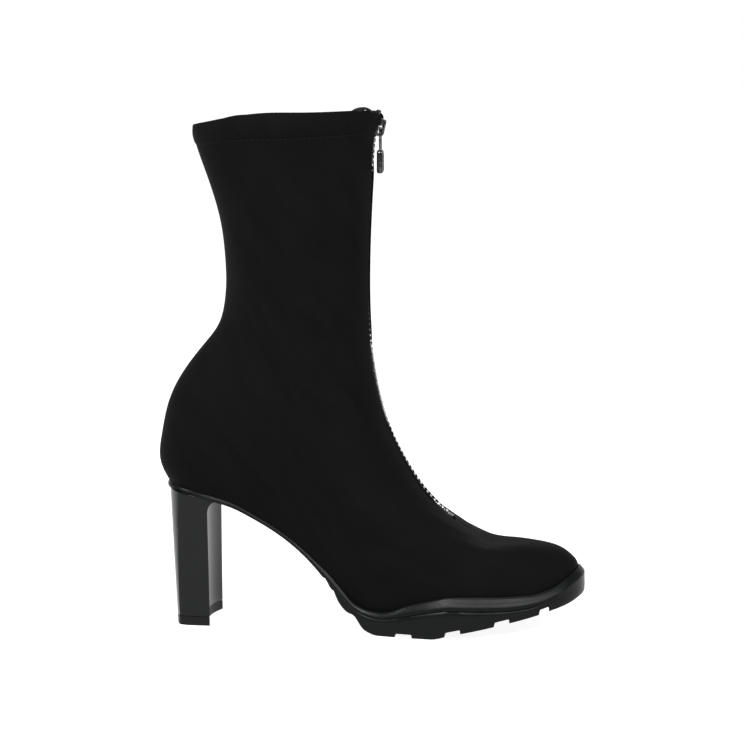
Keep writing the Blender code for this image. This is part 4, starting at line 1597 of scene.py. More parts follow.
@dataclass
class CupSole(Assembly):
    """Rubber cup sole: rand with its bead, groove, lug band, tread, thin waist and heel seat."""

    side_columns: int = 150
    strip_half: float = 5.0
    strip_columns: int = 4
    rungs: int = 14
    slant: float = 2.4
    past_edge: float = 60.0
    below: float = 12.0
    set_back: float = 0.10
    clearance: float = 0.15
    skin: float = 0.2
    lug_fade: float = 0.8
    band_start: float = 0.04
    bead: tuple[Span, ...] = (
        (0.00, 0.03), (0.05, -0.012), (0.13, -0.020), (0.22, 0.002), (0.31, 0.04), (0.39, 0.09),
        (0.46, 0.155), (0.53, 0.24), (0.625, 0.345), (0.755, 0.485), (0.885, 0.63), (0.965, 0.78),
        (0.985, 0.88), (0.955, 0.955), (0.86, 0.99))
    band: tuple[Span, ...] = (
        (0.78, 0.0), (0.88, 0.016), (0.97, 0.045), (1.03, 0.085), (1.075, 0.14), (1.10, 0.21),
        (1.10, 0.34), (1.08, 0.55), (1.06, 0.78), (1.03, 0.91), (0.98, 0.975), (0.88, 1.0))
    face_top: float = 0.53
    face_foot: float = 0.8
    face_lean: float = 0.27
    most_lean: float = 0.75
    groove_shares: Span = (0.85, 0.35)
    groove_end: Span = (92.0, 14.0)
    groove_fill: float = 1.04
    ripple_share: float = 0.62
    front_slant: float = 0.5
    channel_round: float = 0.7
    round_share: float = 0.3
    waist_ripples: tuple[Channel, ...] = (
        Channel(-23.2, 1.8, 1.5), Channel(-18.4, 2.0, 1.8), Channel(-6.3, 5.4, 2.8))
    side_channels: tuple[Channel, ...] = (
        Channel(23.2, 9.6, 2.2, 17.0), Channel(51.8, 8.6, 2.5, 17.0), Channel(79.8, 8.2, 2.6, 15.0),
        Channel(103.6, 5.0, 3.0, 11.0))
    middle_channels: tuple[Channel, ...] = (
        Channel(11.0, 5.0, 2.2, 13.0), Channel(37.2, 5.0, 2.2, 15.0), Channel(65.6, 5.0, 2.2, 14.0),
        Channel(92.0, 5.0, 2.2, 10.0))

    def ring_aside(self, row: float, reach: Callable[[Array], Array]) -> Array:
        """Ring of the upper, moved outwards level with the floor.

        Args:
            row: Row of the ring.
            reach: How far each point moves, from its place along the boot.

        Returns:
            The points from the back round the outer side, with the first repeated at the end.
        """
        ring = self.form.ring(row)
        edge = ring.turn_at(self.strip_half)
        fine, run = ring.runs(edge)
        side = np.interp(np.linspace(0.0, run[-1], self.side_columns + 1), run, fine)
        turns = np.concatenate((side, np.linspace(edge, math.pi, self.strip_columns + 1)[1:]))
        both, sides = round_trip(turns)
        points, flat = ring.points(both, sides), self.form.normals(row, both, sides)
        flat[:, 2] = 0.0
        return points + unit(flat) * reach(points[:, 0])[:, None]

    def between_lugs(self, x: Array) -> Array:
        """Mask of the forefoot's side channels.

        Args:
            x: Places along the boot.

        Returns:
            1 in a channel, fading to 0 on the lugs.
        """
        mask, fade = np.zeros_like(x), self.lug_fade
        for cut in self.side_channels:
            past = np.abs(x - cut.x) - cut.length / 2 + fade / 2
            mask = np.maximum(mask, 1 - ease(past / fade))
        return mask

    def side_ring(self, level: Level) -> Array:
        """Ring of the sole's side.

        Args:
            level: Level of the ring.

        Returns:
            The points.
        """
        lines = self.form.lines
        in_band = level.first == "lug" and level.share > self.band_start
        above, under = self.groove_shares
        in_groove = level.share > above if level.first == "rand" else level.share < under

        def reach(x: Array) -> Array:
            """Distance from the upper's face."""
            out = self.lean(level, x) - (self.set_back * self.between_lugs(x) if in_band else 0.0)
            if in_groove:
                out = part_way(out, self.groove_fill, ramp(x, *self.groove_end))
            return self.clearance + out * lines["proud"](x) + self.skin * min(level.out, 1.0)

        ring = self.ring_aside(self.form.rand_row, reach)
        low, high = lines[level.first](ring[:, 0]), lines[level.second](ring[:, 0])
        ring[:, 2] = part_way(low, high, level.share)
        if level.first == "lug":
            ring[:, 2] += self.ripple(ring[:, 0]) * level.share
        return ring

    def lean(self, level: Level, x: Array) -> Array:
        """Reach of a level, set so that the rand's face leans alike all round.

        Args:
            level: Level of the side.
            x: Places along the boot.

        Returns:
            The reach as a share of the rand's own.
        """
        if level.first == "lug" or level.share > self.face_foot:
            return np.full_like(x, level.out)
        lines = self.form.lines
        slope = self.face_lean * (lines["rand"](x) - lines["lug"](x)) / lines["proud"](x)
        back = np.minimum(slope, self.most_lean)
        if level.out <= self.face_top:
            return level.out / self.face_top * (1 - back)
        return 1 - (1 - level.out) * back / (1 - self.face_top)

    def ripple(self, x: Array) -> Array:
        """Height of the soft hollows between the ripples under the waist."""
        cuts, share = self.waist_ripples, self.ripple_share
        return sum(cut.depth * bell(x - cut.x, cut.length * share) for cut in cuts)

    def levels(self) -> list[Level]:
        """Levels of the side from the inside of the rand to the tread."""
        upper = [Level(out, "rand", "lug", share) for out, share in self.bead]
        return upper + [Level(out, "lug", "ground", share) for out, share in self.band]

    def add_channel(self, bm: Mesh, cut: Channel, near: float, far: float) -> None:
        """Cutter of one channel.

        Args:
            bm: Mesh of all cutters.
            cut: The channel.
            near: Lowest place across the boot.
            far: Highest place across the boot.
        """
        ground = self.form.lines["ground"]
        back, front = cut.x - cut.length / 2, cut.x + cut.length / 2
        corners = {
            (end, up): (x, float(ground(x)) + rise)
            for end, up, x, rise in (
                (-1, 1, back, cut.depth), (1, 1, front, cut.depth),
                (-1, -1, back - self.slant, -self.below),
                (1, -1, front + self.front_slant, -self.below))
        }
        made = bmesh.ops.create_cube(bm, size=2.0)["verts"]
        for vert in made:
            x, z = corners[round(vert.co.x), round(vert.co.z)]
            vert.co = (x, far if vert.co.y > 0 else near, z)
        upper = [edge for edge in {e for v in made for e in v.link_edges}
                 if all(v.co.z > float(ground(v.co.x)) for v in edge.verts)
                 and abs(edge.verts[0].co.y - edge.verts[1].co.y) > 1.0]
        round_edges(bm, upper, min(self.channel_round, cut.length * self.round_share), 3)

    def cutters(self) -> Piece:
        """All channels of the tread as one cutter."""
        bm = bmesh.new()
        for cut in self.side_channels:
            self.add_channel(bm, cut, -self.past_edge, -cut.stop)
            self.add_channel(bm, cut, cut.stop + self.form.swing / 2, self.past_edge)
        for cut in self.middle_channels:
            self.add_channel(bm, cut, -cut.stop, cut.stop + self.form.swing / 2)
        face_out(bm)
        return finish_piece(bm, "tread_channels", ())

    def build(self) -> list[Piece]:
        """The sole with its channels cut."""
        floor = self.ring_aside(0.0, lambda x: np.full_like(x, self.form.gap))
        floor[:, 2] -= self.form.gap
        rings = [floor] + [self.side_ring(level) for level in self.levels()]
        piece = finish_piece(stack_rings(rings, self.rungs), "cup_sole", (self.paints.tread,))
        cutter = self.cutters()
        cut = piece.modifiers.new("channels", "BOOLEAN")
        cut.operation = "DIFFERENCE"
        cut.object = cutter
        ready = piece.evaluated_get(bpy.context.evaluated_depsgraph_get())
        mesh = bpy.data.meshes.new_from_object(ready)
        piece.modifiers.clear()
        piece.data = mesh
        bpy.data.objects.remove(cutter)
        mesh.shade_smooth()
        mesh.set_sharp_from_angle(angle=math.radians(Crease.TREAD.value))
        return [hand_over(piece, Body.BOOT, Slot.TREAD, "outsole")]


@dataclass
class BlockHeel(Assembly):
    """Block heel under the heel seat, with the rubber lift under it."""

    lift_height: float = 5.2
    back_top: float = -118.7
    back_floor: float = -114.0
    front_top: float = -93.5
    front_floor: float = -92.7
    half_top: float = 26.0
    half_floor: float = 23.0
    half_power: float = 1.5
    side_starts: Span = (3.4, 8.0)
    back_rounds: Span = (3.4, 2.6)
    round_power: float = 1.6
    scoop: float = 4.4
    flare: float = 7.0
    flare_start: float = 0.88
    corner_round: float = 1.5
    corner_angle: float = 28.0
    corner_rise: float = 0.05
    corner_zone: Span = (-100.0, 15.0)
    side_turn: float = 0.09
    turn_power: int = 4
    edge_round: float = 0.5
    edge_angle: float = 50.0
    edge_band: float = 1.0
    breast_place: float = -101.0
    seat_overlap: float = 0.25
    cuts: int = 25

    def plan(self, along: float, across: float, share: float) -> tuple[float, float]:
        """Place on the heel's plan.

        Args:
            along: From 0 at the back to 1 at the breast.
            across: From -1 on the outer side to 1 on the inner side.
            share: Height as a share of the heel's own.

        Returns:
            The place along and across the boot.
        """
        half = part_way(self.half_floor, self.half_top, share**self.half_power)
        back = part_way(self.back_floor, self.back_top, share)
        blend = share**self.round_power
        start, power = part_way(*self.side_starts, blend), part_way(*self.back_rounds, blend)
        back += start * abs(across) ** power
        sweep_up = max(0.0, (share - self.flare_start) / (1 - self.flare_start))
        front = part_way(self.front_floor, self.front_top, share)
        front += self.flare * (1 - math.sqrt(max(0.0, 1 - sweep_up * sweep_up)))
        front -= self.scoop * (1 - across * across)
        turned = 1 - self.side_turn * (1 - along) ** self.turn_power
        return part_way(back, front, along), half * across * turned

    def block(
            self, low: float, high: Callable[[float], float], first: float, last: float
    ) -> Mesh:
        """Piece of the heel between two heights.

        Args:
            low: Height of its underside.
            high: Height of its top at a place along the boot.
            first: Share of the heel's height at its underside.
            last: Share of the heel's height at its top.

        Returns:
            The piece with its edges rounded.
        """
        def shape(x: float, y: float, z: float) -> Place:
            """Place of a point of the block."""
            up = math.sin((z + 1) / 2 * math.pi / 2)
            along, across = self.plan((x + 1) / 2, y, part_way(first, last, up))
            return along, across, part_way(low, high(along), up)

        bm = bmesh.new()
        add_shaped(bm, self.cuts, shape)
        back, side = self.corner_zone
        upright = [edge for edge in sharp_edges(bm, self.corner_angle)
                   if abs(edge.verts[0].co.z - edge.verts[1].co.z) > self.corner_rise
                   and edge.verts[0].co.x < back and abs(edge.verts[0].co.y) > side]
        round_edges(bm, upright, self.corner_round, 4)
        level = [edge for edge in sharp_edges(bm, self.edge_angle)
                 if edge.verts[0].co.z < low + self.edge_band
                 or edge.verts[0].co.x > self.breast_place]
        round_edges(bm, level, self.edge_round, 3)
        return bm

    def build(self) -> list[Piece]:
        """The heel and its lift."""
        ground, gap = self.form.lines["ground"], self.form.gap
        joint = self.lift_height / float(ground(self.back_top))
        block = self.block(
            self.lift_height + gap, lambda x: float(ground(x)) + self.seat_overlap, joint, 1.0)
        heel = finish_piece(block, "heel_block", (self.paints.lacquer,), Crease.CUT)
        lift = self.block(0.0, lambda x: self.lift_height, 0.0, joint)
        sole = finish_piece(lift, "heel_lift", (self.paints.lift,), Crease.CUT)
        return [
            hand_over(heel, Body.BOOT, Slot.HEEL, "heel"),
            hand_over(sole, Body.BOOT, Slot.LIFT, "top_lift"),
        ]


@dataclass
class InsoleSheet(Assembly):
    """Cloth-covered insole inside the upper."""

    sole: CupSole
    height: float = 2.2
    soft_edge: float = 0.7
    edge_steps: tuple[Span, ...] = ((0.0, 1.0), (0.2, 0.3), (1.0, 0.0), (2.5, 0.0))
    dish: float = 0.8
    rungs: int = 16

    def ring(self, inset: float, lift: float) -> Array:
        """Ring of the sheet.

        Args:
            inset: Distance inside the sheet's edge.
            lift: Height over the foot's line.

        Returns:
            The points.
        """
        reach = -self.form.wall - 2 * self.form.gap - inset
        ring = self.sole.ring_aside(0.0, lambda x: np.full_like(x, reach))
        ring[:, 2] = self.form.lines["foot"](ring[:, 0]) + lift
        return ring

    def build(self) -> list[Piece]:
        """The sheet with its rounded edge and shallow dish."""
        soft = self.soft_edge
        edge = [self.ring(inset * soft, self.height - drop * soft)
                for inset, drop in self.edge_steps]
        bm = stack_rings([self.ring(0.0, 0.0), *edge], self.rungs, self.dish)
        layer = bm.loops.layers.uv.verify()
        for face in bm.faces:
            for loop in face.loops:
                loop[layer].uv = (loop.vert.co.y * MM, loop.vert.co.x * MM)
        piece = finish_piece(bm, "insole_sheet", (self.paints.insole,), Crease.BAR)
        return [hand_over(piece, Body.BOOT, Slot.INSOLE, "insole")]


@dataclass
class FrontZip(Assembly):
    """Front zip: two tapes, meshed teeth, stops, slider and hanging pull."""

    tape_height: float = 0.7
    tape_columns: tuple[float, float, int] = (5.4, 12.0, 7)
    tape_rows: Span = (0.06, 2.4)
    cord_steps: Table = (0.0, 0.3, 0.8, 1.2)
    cord_rise: float = 0.22
    cord_bell: Span = (0.4, 0.5)
    lift_width: float = 2.2
    fold_shares: Span = (0.935, 0.815)
    fold_grid: tuple[int, int] = (6, 30)
    fold_size: Span = (5.0, 20.0)
    fold_inset: float = 2.0
    fold_rise: float = 2.1
    fold_power: float = 0.7
    fold_falls: Span = (1.1, 3.6)
    fold_step: Span = (0.36, 0.2)
    fold_bulge: float = 0.5
    chain_half: float = 2.7
    chain_height: float = 2.4
    tooth_pitch: float = 3.2
    tooth_size: Place = (1.45, 3.3, 2.4)
    tooth_shift: float = 1.15
    tooth_tip: Span = (0.80, 0.74)
    tooth_round: float = 0.26
    first_tooth: float = 0.24
    last_tooth: float = 4.0
    rise_rows: Table = (
        6.0, 6.55, 6.9, 8.6, 9.0, 9.7, 10.2, 12.3, 12.6, 13.0, 13.3, 14.0)
    rises: Table = (
        2.30, 2.20, 1.70, 1.60, 1.50, 1.20, 0.10, -0.25, 0.50, 0.50, 0.15, 0.15)
    clip_round: float = 0.2
    clip_inset: float = 0.14
    clip_press: float = 0.18
    low_clip_rows: Span = (0.10, 0.20)
    low_clip_spare: float = 0.4
    top_clip_size: Place = (2.2, 1.4, 2.0)
    top_clip_place: Span = (7.5, 0.7)
    slider_height: float = 291.6
    slider_round: float = 0.22
    plate_length: float = 11.0
    plate_height: float = 0.8
    plate_narrow: float = 3.5
    plate_growth: Span = (0.8, 7.0)
    plate_dome: float = 0.20
    shoulder_start: float = 2.6
    shoulder_drop: Span = (0.42, 2.2)
    flange_run: Span = (-1.2, 3.9)
    flange_side: Span = (0.62, 0.46)
    flange_level: Span = (1.30, 0.42)
    mouth: float = 3.0
    wedge_size: Span = (2.4, 2.2)
    wedge_inset: float = 1.9
    post_place: Place = (2.7, 0.0, 3.9)
    post_size: Place = (3.8, 2.4, 4.0)
    bridge_ends: Span = (-4.5, 4.1)
    bridge_bar: float = 1.9
    bridge_half: float = 1.3
    bridge_round: float = 1.5
    bridge_sink: float = 0.5
    crown: float = 5.2
    square_angles: Span = (50.0, 60.0)
    link_half: float = 2.15
    link_drop: float = 12.9
    link_round: float = 1.1
    link_bar: Span = (0.62, 0.65)
    tab_size: Place = (3.5, 8.8, 13.6)
    tab_drop: float = 19.2
    tab_rounds: Span = (1.9, 1.15)
    tab_frame: float = 0.5
    tab_press: float = 0.3
    depth: float = field(init=False)

    def __post_init__(self) -> None:
        """Work out how deep the tape lies under the upper's face."""
        self.depth = self.form.wall + self.form.gap + self.tape_height / 2

    def slider_frame(self) -> Matrix:
        """Frame of the slider on the middle of the chain."""
        return self.form.front_frame(self.form.row_at_height(self.slider_height), self.depth)

    def chain_rise(self, row: float) -> float:
        """How far the chain stands above the tape's outer edge, most of all over the instep."""
        return float(SteadyLine(self.rise_rows, self.rises)(row))

    def chain_frame(self, row: float) -> Matrix:
        """Frame on the middle of the chain."""
        return self.form.front_frame(row, self.depth - self.chain_rise(row))

    def build_tape(self, name: str, side: Side, node: str) -> Piece:
        """One half of the tape, sewn behind the edge of the slit.

        Args:
            name: Name of the piece.
            side: Side of the foot.
            node: Node that it stands for.

        Returns:
            The piece.
        """
        form = self.form
        inner = self.chain_half + 2 * form.gap
        columns = np.linspace(*self.tape_columns)
        widths = np.concatenate((inner + np.array(self.cord_steps), columns))
        middle, half = self.cord_bell
        cord = self.cord_rise * bell(widths - inner - middle, half)
        lifted = 1 - ramp(widths, inner, self.lift_width)
        first, pitch = self.tape_rows
        rows = form.front_rows(form.slit_row + first, form.collar_row, pitch)
        points = []
        for row in rows:
            ring = form.ring(float(row))
            turns = np.array([ring.turn_at(float(width)) for width in widths])
            sides = np.full(len(turns), float(side.value))
            face = ring.points(turns, sides)
            sunk = self.depth - cord - self.chain_rise(float(row)) * lifted
            points.append(face - form.normals(float(row), turns, sides) * sunk[:, None])
        points = np.stack(points)
        uvs = np.stack(np.meshgrid(widths, run_along(points[:, 0])), axis=-1) * MM
        bm = bmesh.new()
        lay_sheet(bm, points, uvs)
        if side is Side.OUTER:
            bmesh.ops.reverse_faces(bm, faces=bm.faces)
        return self.weave(bm, name, node)

    def weave(self, bm: Mesh, name: str, *nodes: str) -> Piece:
        """Tape of its full thickness from its middle sheet.

        Args:
            bm: The sheet.
            name: Name of the piece.
            nodes: Nodes that it stands for.

        Returns:
            The piece.
        """
        piece = finish_piece(bm, name, (self.paints.tape,), Crease.CLOTH)
        wall = piece.modifiers.new("weave", "SOLIDIFY")
        wall.thickness = self.tape_height * MM
        wall.offset = 0.0
        return hand_over(piece, Body.BOOT, Slot.TAPE, *nodes)

    def build_fold(self) -> Piece:
        """End of the inner tape, folded back along the collar and standing a little over it."""
        form = self.form
        ring = form.ring(form.collar_row)
        count, columns = self.fold_grid
        turns = np.arccos(1 - 2 * np.linspace(*self.fold_shares, columns))
        sides = np.ones_like(turns)
        share = np.linspace(0.0, 1.0, len(turns))
        face = ring.points(turns, sides)
        inwards = -form.normals(form.collar_row, turns, sides)
        inwards[:, 2] = 0.0
        line = face + inwards * self.fold_inset
        arch = self.fold_rise * np.sin(np.pi * share) ** self.fold_power
        least, more = self.fold_falls
        fall = least + more * ramp(share, *self.fold_step)
        rows = []
        for step in np.linspace(0.0, 1.0, count):
            level = line.copy()
            level[:, 2] += arch - fall * step
            rows.append(level + inwards * self.fold_bulge * math.sin(math.pi * step))
        width, length = self.fold_size
        uvs = np.stack(np.meshgrid(share * length, np.linspace(0.0, width, count)), axis=-1) * MM
        bm = bmesh.new()
        lay_sheet(bm, np.stack(rows), uvs)
        face_out(bm)
        return self.weave(bm, "tape_fold")

    def build_teeth(self) -> Piece:
        """Two rows of meshed metal teeth, each clamped on its tape's edge."""
        form = self.form
        top = form.row_at_height(self.slider_height + self.plate_length / 2 - self.last_tooth)
        rows = form.front_rows(form.slit_row + self.first_tooth, top, self.tooth_pitch / 2)
        narrow, low = self.tooth_tip
        bm = bmesh.new()
        for i, row in enumerate(rows):
            side = 1 if i % 2 else -1
            shift = Matrix.Translation((0, side * self.tooth_shift, 0))
            place = self.chain_frame(float(row)) @ shift
            back = place.inverted()
            for vert in add_cell(bm, place, self.tooth_size):
                local = back @ vert.co
                if local.y * side < 0:
                    local.z *= low
                    local.x *= narrow
                    vert.co = place @ local
        round_edges(bm, bm.edges[:], self.tooth_round, 1)
        face_out(bm)
        piece = finish_piece(bm, "zip_teeth_rows", (self.paints.silver,), Crease.CUT)
        return hand_over(piece, Body.BOOT, Slot.SILVER, "zip_teeth")

    def clip(self, place: Matrix, size: Place) -> Mesh:
        """Small bent metal clip with a pressed hollow in its face.

        Args:
            place: Frame at its middle.
            size: Its length up the zip, width and height.

        Returns:
            The clip.
        """
        bm = bmesh.new()
        add_cell(bm, Matrix.Identity(4), size)
        round_edges(bm, bm.edges[:], min(size) * self.clip_round, 3)
        bm.faces.ensure_lookup_table()
        inset = min(size[:2]) * self.clip_inset
        for face in [face for face in bm.faces if abs(face.normal.z) > FACING]:
            bmesh.ops.inset_individual(bm, faces=[face], thickness=inset, depth=-self.clip_press)
        bmesh.ops.transform(bm, matrix=place, verts=bm.verts)
        face_out(bm)
        return bm

    def build_stops(self) -> list[Piece]:
        """Clip at the lower end of the chain and one at the upper end of each tape."""
        low, high = (self.form.slit_row + row for row in self.low_clip_rows)
        ends = [self.form.front_frame(row, self.depth).translation for row in (low, high)]
        place = self.chain_frame((low + high) / 2)
        width = 2 * self.chain_half - self.low_clip_spare
        bm = self.clip(place, ((ends[1] - ends[0]).length, width, self.chain_height))
        bottom = finish_piece(bm, "zip_lower_clip", (self.paints.dark,), Crease.PRESSED)
        made = [hand_over(bottom, Body.BOOT, Slot.DARK, "zip_bottom_stop")]
        up, inset = self.top_clip_place
        for side, node in ((Side.OUTER, "zip_top_stop_outer"), (Side.INNER, "zip_top_stop_inner")):
            shift = Matrix.Translation((up, side.value * (self.chain_half - inset), 0))
            bm = self.clip(self.slider_frame() @ shift, self.top_clip_size)
            name = f"zip_upper_clip_{side.name.lower()}"
            piece = finish_piece(bm, name, (self.paints.clip,), Crease.PRESSED)
            made.append(hand_over(piece, Body.BOOT, Slot.SILVER, node))
        return made

    def plate_width(self, x: float) -> float:
        """Half width of the slider's plates, from the narrow lower end to the rounded shoulders.

        Args:
            x: Place up the slider from its middle.

        Returns:
            The half width.
        """
        (growth, length), (drop, power) = self.plate_growth, self.shoulder_drop
        grown = self.plate_narrow + growth * float(ease((x + self.plate_length / 2) / length))
        start = self.shoulder_start
        shoulder = max(0.0, (x - start) / (self.plate_length / 2 - start))
        return grown * (1 - drop * shoulder**power)

    def add_plate(self, bm: Mesh, face: int) -> None:
        """One plate of the slider, slightly domed, with its two flanges.

        Args:
            bm: Mesh of the slider.
            face: 1 for the plate that shows and -1 for the one behind the chain.
        """
        middle = face * (self.mouth / 2 + self.plate_height / 2)

        def plate(x: float, y: float, z: float) -> Place:
            """Place of a point of the plate."""
            dome = self.plate_dome * (1 - y * y) * (1 - x**4) if z * face > FACING else 0.0
            reach = self.plate_length / 2 * x
            level = middle + z * self.plate_height / 2 + face * dome
            return reach, self.plate_width(reach) * y, level

        def flange(x: float, y: float, z: float) -> Place:
            """Place of a point of the flange on the inner side."""
            (start, run), (inset, half) = self.flange_run, self.flange_side
            (level, height), reach = self.flange_level, start + run * x
            return reach, self.plate_width(reach) - inset + half * y, face * (level + height * z)

        def other_flange(x: float, y: float, z: float) -> Place:
            """Place of a point of the flange on the outer side."""
            reach, side, level = flange(x, y, z)
            return reach, -side, level

        for cuts, shape in ((9, plate), (5, flange), (5, other_flange)):
            add_shaped(bm, cuts, shape)

    def build_slider(self) -> Piece:
        """Slider: two plates with flanges, the wedge between them and the bridge for the pull."""
        bm = bmesh.new()
        for face in (1, -1):
            self.add_plate(bm, face)
        add_cell(bm, Matrix.Translation(self.post_place), self.post_size)
        wedge = Matrix.Translation((self.plate_length / 2 - self.wedge_inset, 0, 0))
        add_cell(bm, wedge, (*self.wedge_size, self.mouth + self.plate_height))
        face_out(bm)
        round_edges(bm, sharp_edges(bm, self.square_angles[0]), self.slider_round, 2)
        foot = self.mouth / 2 + self.plate_height - self.bridge_sink
        low, high = self.bridge_ends
        corners = [(low, foot), (low, self.crown), (high, self.crown), (high, foot)]
        path = self.rounded_path(corners, self.bridge_round, False)
        path = np.stack((path[:, 0], np.zeros(len(path)), path[:, 1]), axis=1)
        sweep(bm, path, np.array((0.0, 1.0, 0.0)), (self.bridge_bar / 2, self.bridge_half), False)
        bmesh.ops.remove_doubles(bm, verts=bm.verts, dist=MERGE)
        bmesh.ops.holes_fill(bm, edges=[edge for edge in bm.edges if edge.is_boundary], sides=0)
        bmesh.ops.transform(bm, matrix=self.slider_frame(), verts=bm.verts)
        face_out(bm)
        piece = finish_piece(bm, "zip_slider_body", (self.paints.dark,), Crease.PRESSED)
        return hand_over(piece, Body.BOOT, Slot.DARK, "zip_slider")

    def rounded_path(
            self, corners: Sequence[Span], radius: float, closed: bool, steps: int = 9
    ) -> Array:
        """Path through corners, each rounded to a radius.

        Args:
            corners: The corners in order.
            radius: Radius of the rounding.
            closed: Whether the path is a loop.
            steps: Points round each corner.

        Returns:
            The points of the path.
        """
        spots = [np.array(corner) for corner in corners]
        count, path = len(spots), []
        for i, spot in enumerate(spots):
            if not closed and i in (0, count - 1):
                path.append(spot)
                continue
            before, after = spots[i - 1] - spot, spots[(i + 1) % count] - spot
            start = spot + before / np.linalg.norm(before) * radius
            end = spot + after / np.linalg.norm(after) * radius
            for share in np.linspace(0.0, 1.0, steps):
                bend = spot * 2 * share * (1 - share)
                path.append(start * (1 - share) ** 2 + bend + end * share**2)
        return np.array(path)

    def hinge(self) -> Vector:
        """Place of the pull's hinge, in millimetres."""
        joints = frame["record"]["behaviour"]["joints"]
        joint = next(joint for joint in joints if joint["child"] == Body.PULL.value)
        return Vector(joint["pos_m"]) / MM

    def build_pull(self) -> list[Piece]:
        """Hanging pull: a loop of bar through the bridge and a thick pebbled tab."""
        hinge = self.hinge()
        bm = bmesh.new()
        half, drop = self.link_half, self.link_drop
        corners = [(-half, 0.0), (half, 0.0), (half, -drop), (-half, -drop)]
        loop = self.rounded_path(corners, self.link_round, True)
        path = np.stack((np.zeros(len(loop)), loop[:, 0], loop[:, 1]), axis=1) + np.array(hinge)
        sweep(bm, path, np.array((1.0, 0.0, 0.0)), self.link_bar, True)
        close_up(bm)
        link = finish_piece(bm, "zip_pull_link", (self.paints.dark,), Crease.BAR)
        tab = bmesh.new()
        add_cell(tab, Matrix.Identity(4), self.tab_size)
        through = [edge for edge in tab.edges if edge.verts[0].co.x * edge.verts[1].co.x < 0]
        corner, rim = self.tab_rounds
        round_edges(tab, through, corner, 5)
        round_edges(tab, sharp_edges(tab, self.square_angles[1]), rim, 4)
        for face in [face for face in tab.faces if abs(face.normal.x) > FACING]:
            for inset, press in ((self.tab_frame, 0.0), (self.tab_press, self.tab_press)):
                bmesh.ops.inset_individual(tab, faces=[face], thickness=inset, depth=-press)
        face_out(tab)
        bmesh.ops.translate(tab, vec=hinge - Vector((0, 0, self.tab_drop)), verts=tab.verts)
        plate = finish_piece(tab, "zip_pull_tab", (self.paints.pebbled,), Crease.PRESSED)
        return [
            hand_over(plate, Body.PULL, Slot.DARK, "zip_pull"),
            hand_over(link, Body.PULL, Slot.DARK),
        ]

    def build(self) -> list[Piece]:
        """All pieces of the zip."""
        return [
            self.build_tape("tape_weave_outer", Side.OUTER, "zip_tape_outer"),
            self.build_tape("tape_weave_inner", Side.INNER, "zip_tape_inner"),
            self.build_fold(),
            self.build_teeth(),
            *self.build_stops(),
            self.build_slider(),
            *self.build_pull(),
        ]


@dataclass(frozen=True)
class SoftBox:
    """Large soft light that faces the boot."""

    name: str
    place: Place
    size: Span
    watts: float


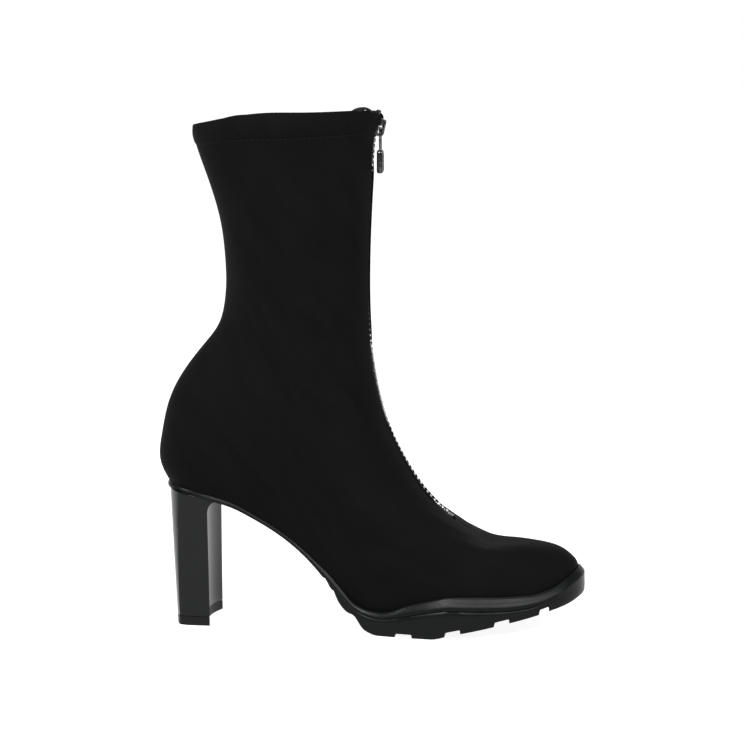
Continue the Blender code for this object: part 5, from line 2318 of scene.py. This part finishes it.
@dataclass
class Studio:
    """Pale floor, white surroundings, soft lights and the camera. Sizes are in metres."""

    paints: Paints
    floor_half: float = 9.0
    floor_sides: int = 96
    floor_drop: float = 0.00002
    world_light: float = 1.0
    world_front: Colour = (0.14, 0.14, 0.14)
    world_fade: Span = (0.40, 0.95)
    azimuth: float = 6.42
    distance: float = 1.6
    camera_height: float = 0.3697
    look_at: Place = (0.00045, 0.0, 0.1487)
    lens: float = 133.8
    sensor: float = 36.0
    nearest: float = 0.01
    lights: tuple[SoftBox, ...] = (
        SoftBox("key light", (0.3, -1.5, 1.22), (2.3, 0.42), 44.0),
        SoftBox("top light", (0.1, -0.2, 2.1), (1.3, 0.8), 16.0),
        SoftBox("toe light", (1.28, -0.92, 1.22), (0.8, 0.4), 14.0),
        SoftBox("toe card", (1.5, 0.15, 0.55), (1.0, 0.7), 1.3),
        SoftBox("back light", (-1.4, -0.55, 1.1), (0.4, 0.4), 18.0),
        SoftBox("waist light", (-0.40, -1.20, 1.57), (0.36, 0.3), 28.0),
    )

    def build_floor(self) -> None:
        """Wide pale floor."""
        bm = bmesh.new()
        bmesh.ops.create_circle(
            bm, cap_ends=True, segments=self.floor_sides, radius=self.floor_half / MM)
        bmesh.ops.translate(bm, vec=(0.0, 0.0, -self.floor_drop / MM), verts=bm.verts)
        floor = finish_piece(bm, "studio_floor", (self.paints.floor,))

    def build_world(self) -> None:
        """Surroundings that are white behind the boot and dimmer in front of it."""
        bench = NodeBench(bpy.data.worlds.new("studio surroundings"), "Background")
        _, depth, _ = bench.parts(bench.coords(Coords.HEADING))
        bpy.context.scene.world = bench.coat({
            "Color": bench.blend(depth.between(*self.world_fade), self.world_front, grey(1.0)),
            "Strength": self.world_light,
        })
        bpy.context.scene.view_settings.view_transform = "Standard"

    def build_lights(self) -> None:
        """Soft lights that face the boot."""
        for box in self.lights:
            lamp = bpy.data.lights.new(box.name, "AREA")
            lamp.shape = "RECTANGLE"
            lamp.size, lamp.size_y = box.size
            lamp.energy = box.watts
            light = bpy.data.objects.new(box.name, lamp)
            light.location = box.place
            heading = Vector(self.look_at) - Vector(box.place)
            light.rotation_euler = heading.to_track_quat("-Z", "Y").to_euler()
            bpy.context.scene.collection.objects.link(light)

    def build_camera(self) -> None:
        """Camera at the photograph's viewing angle."""
        turn = math.radians(self.azimuth)
        place = Vector((
            math.sin(turn) * self.distance, -math.cos(turn) * self.distance, self.camera_height))
        camera = bpy.data.objects.new("camera", bpy.data.cameras.new("camera"))
        camera.location = place
        camera.rotation_euler = (Vector(self.look_at) - place).to_track_quat("-Z", "Y").to_euler()
        camera.data.lens = self.lens
        camera.data.sensor_width = self.sensor
        camera.data.clip_start = self.nearest
        bpy.context.scene.collection.objects.link(camera)
        bpy.context.scene.camera = camera

    def build(self) -> None:
        """Set up the whole studio."""
        self.build_floor()
        self.build_world()
        self.build_lights()
        self.build_camera()
        LOG.info("studio is set up")


def main() -> None:
    """Build the boot's pieces and the studio."""
    logging.basicConfig(level=logging.INFO, format="%(name)s: %(message)s")
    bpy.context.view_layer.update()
    form, paints = BootForm(), Paints()
    Studio(paints).build()
    sole = CupSole(form, paints)
    assemblies = (
        StretchUpper(form, paints), sole, InsoleSheet(form, paints, sole), BlockHeel(form, paints),
        FrontZip(form, paints))
    for assembly in assemblies:
        made = assembly.build()
        LOG.info("%s: %d pieces", type(assembly).__name__, len(made))


if __name__ == "__main__":
    main()
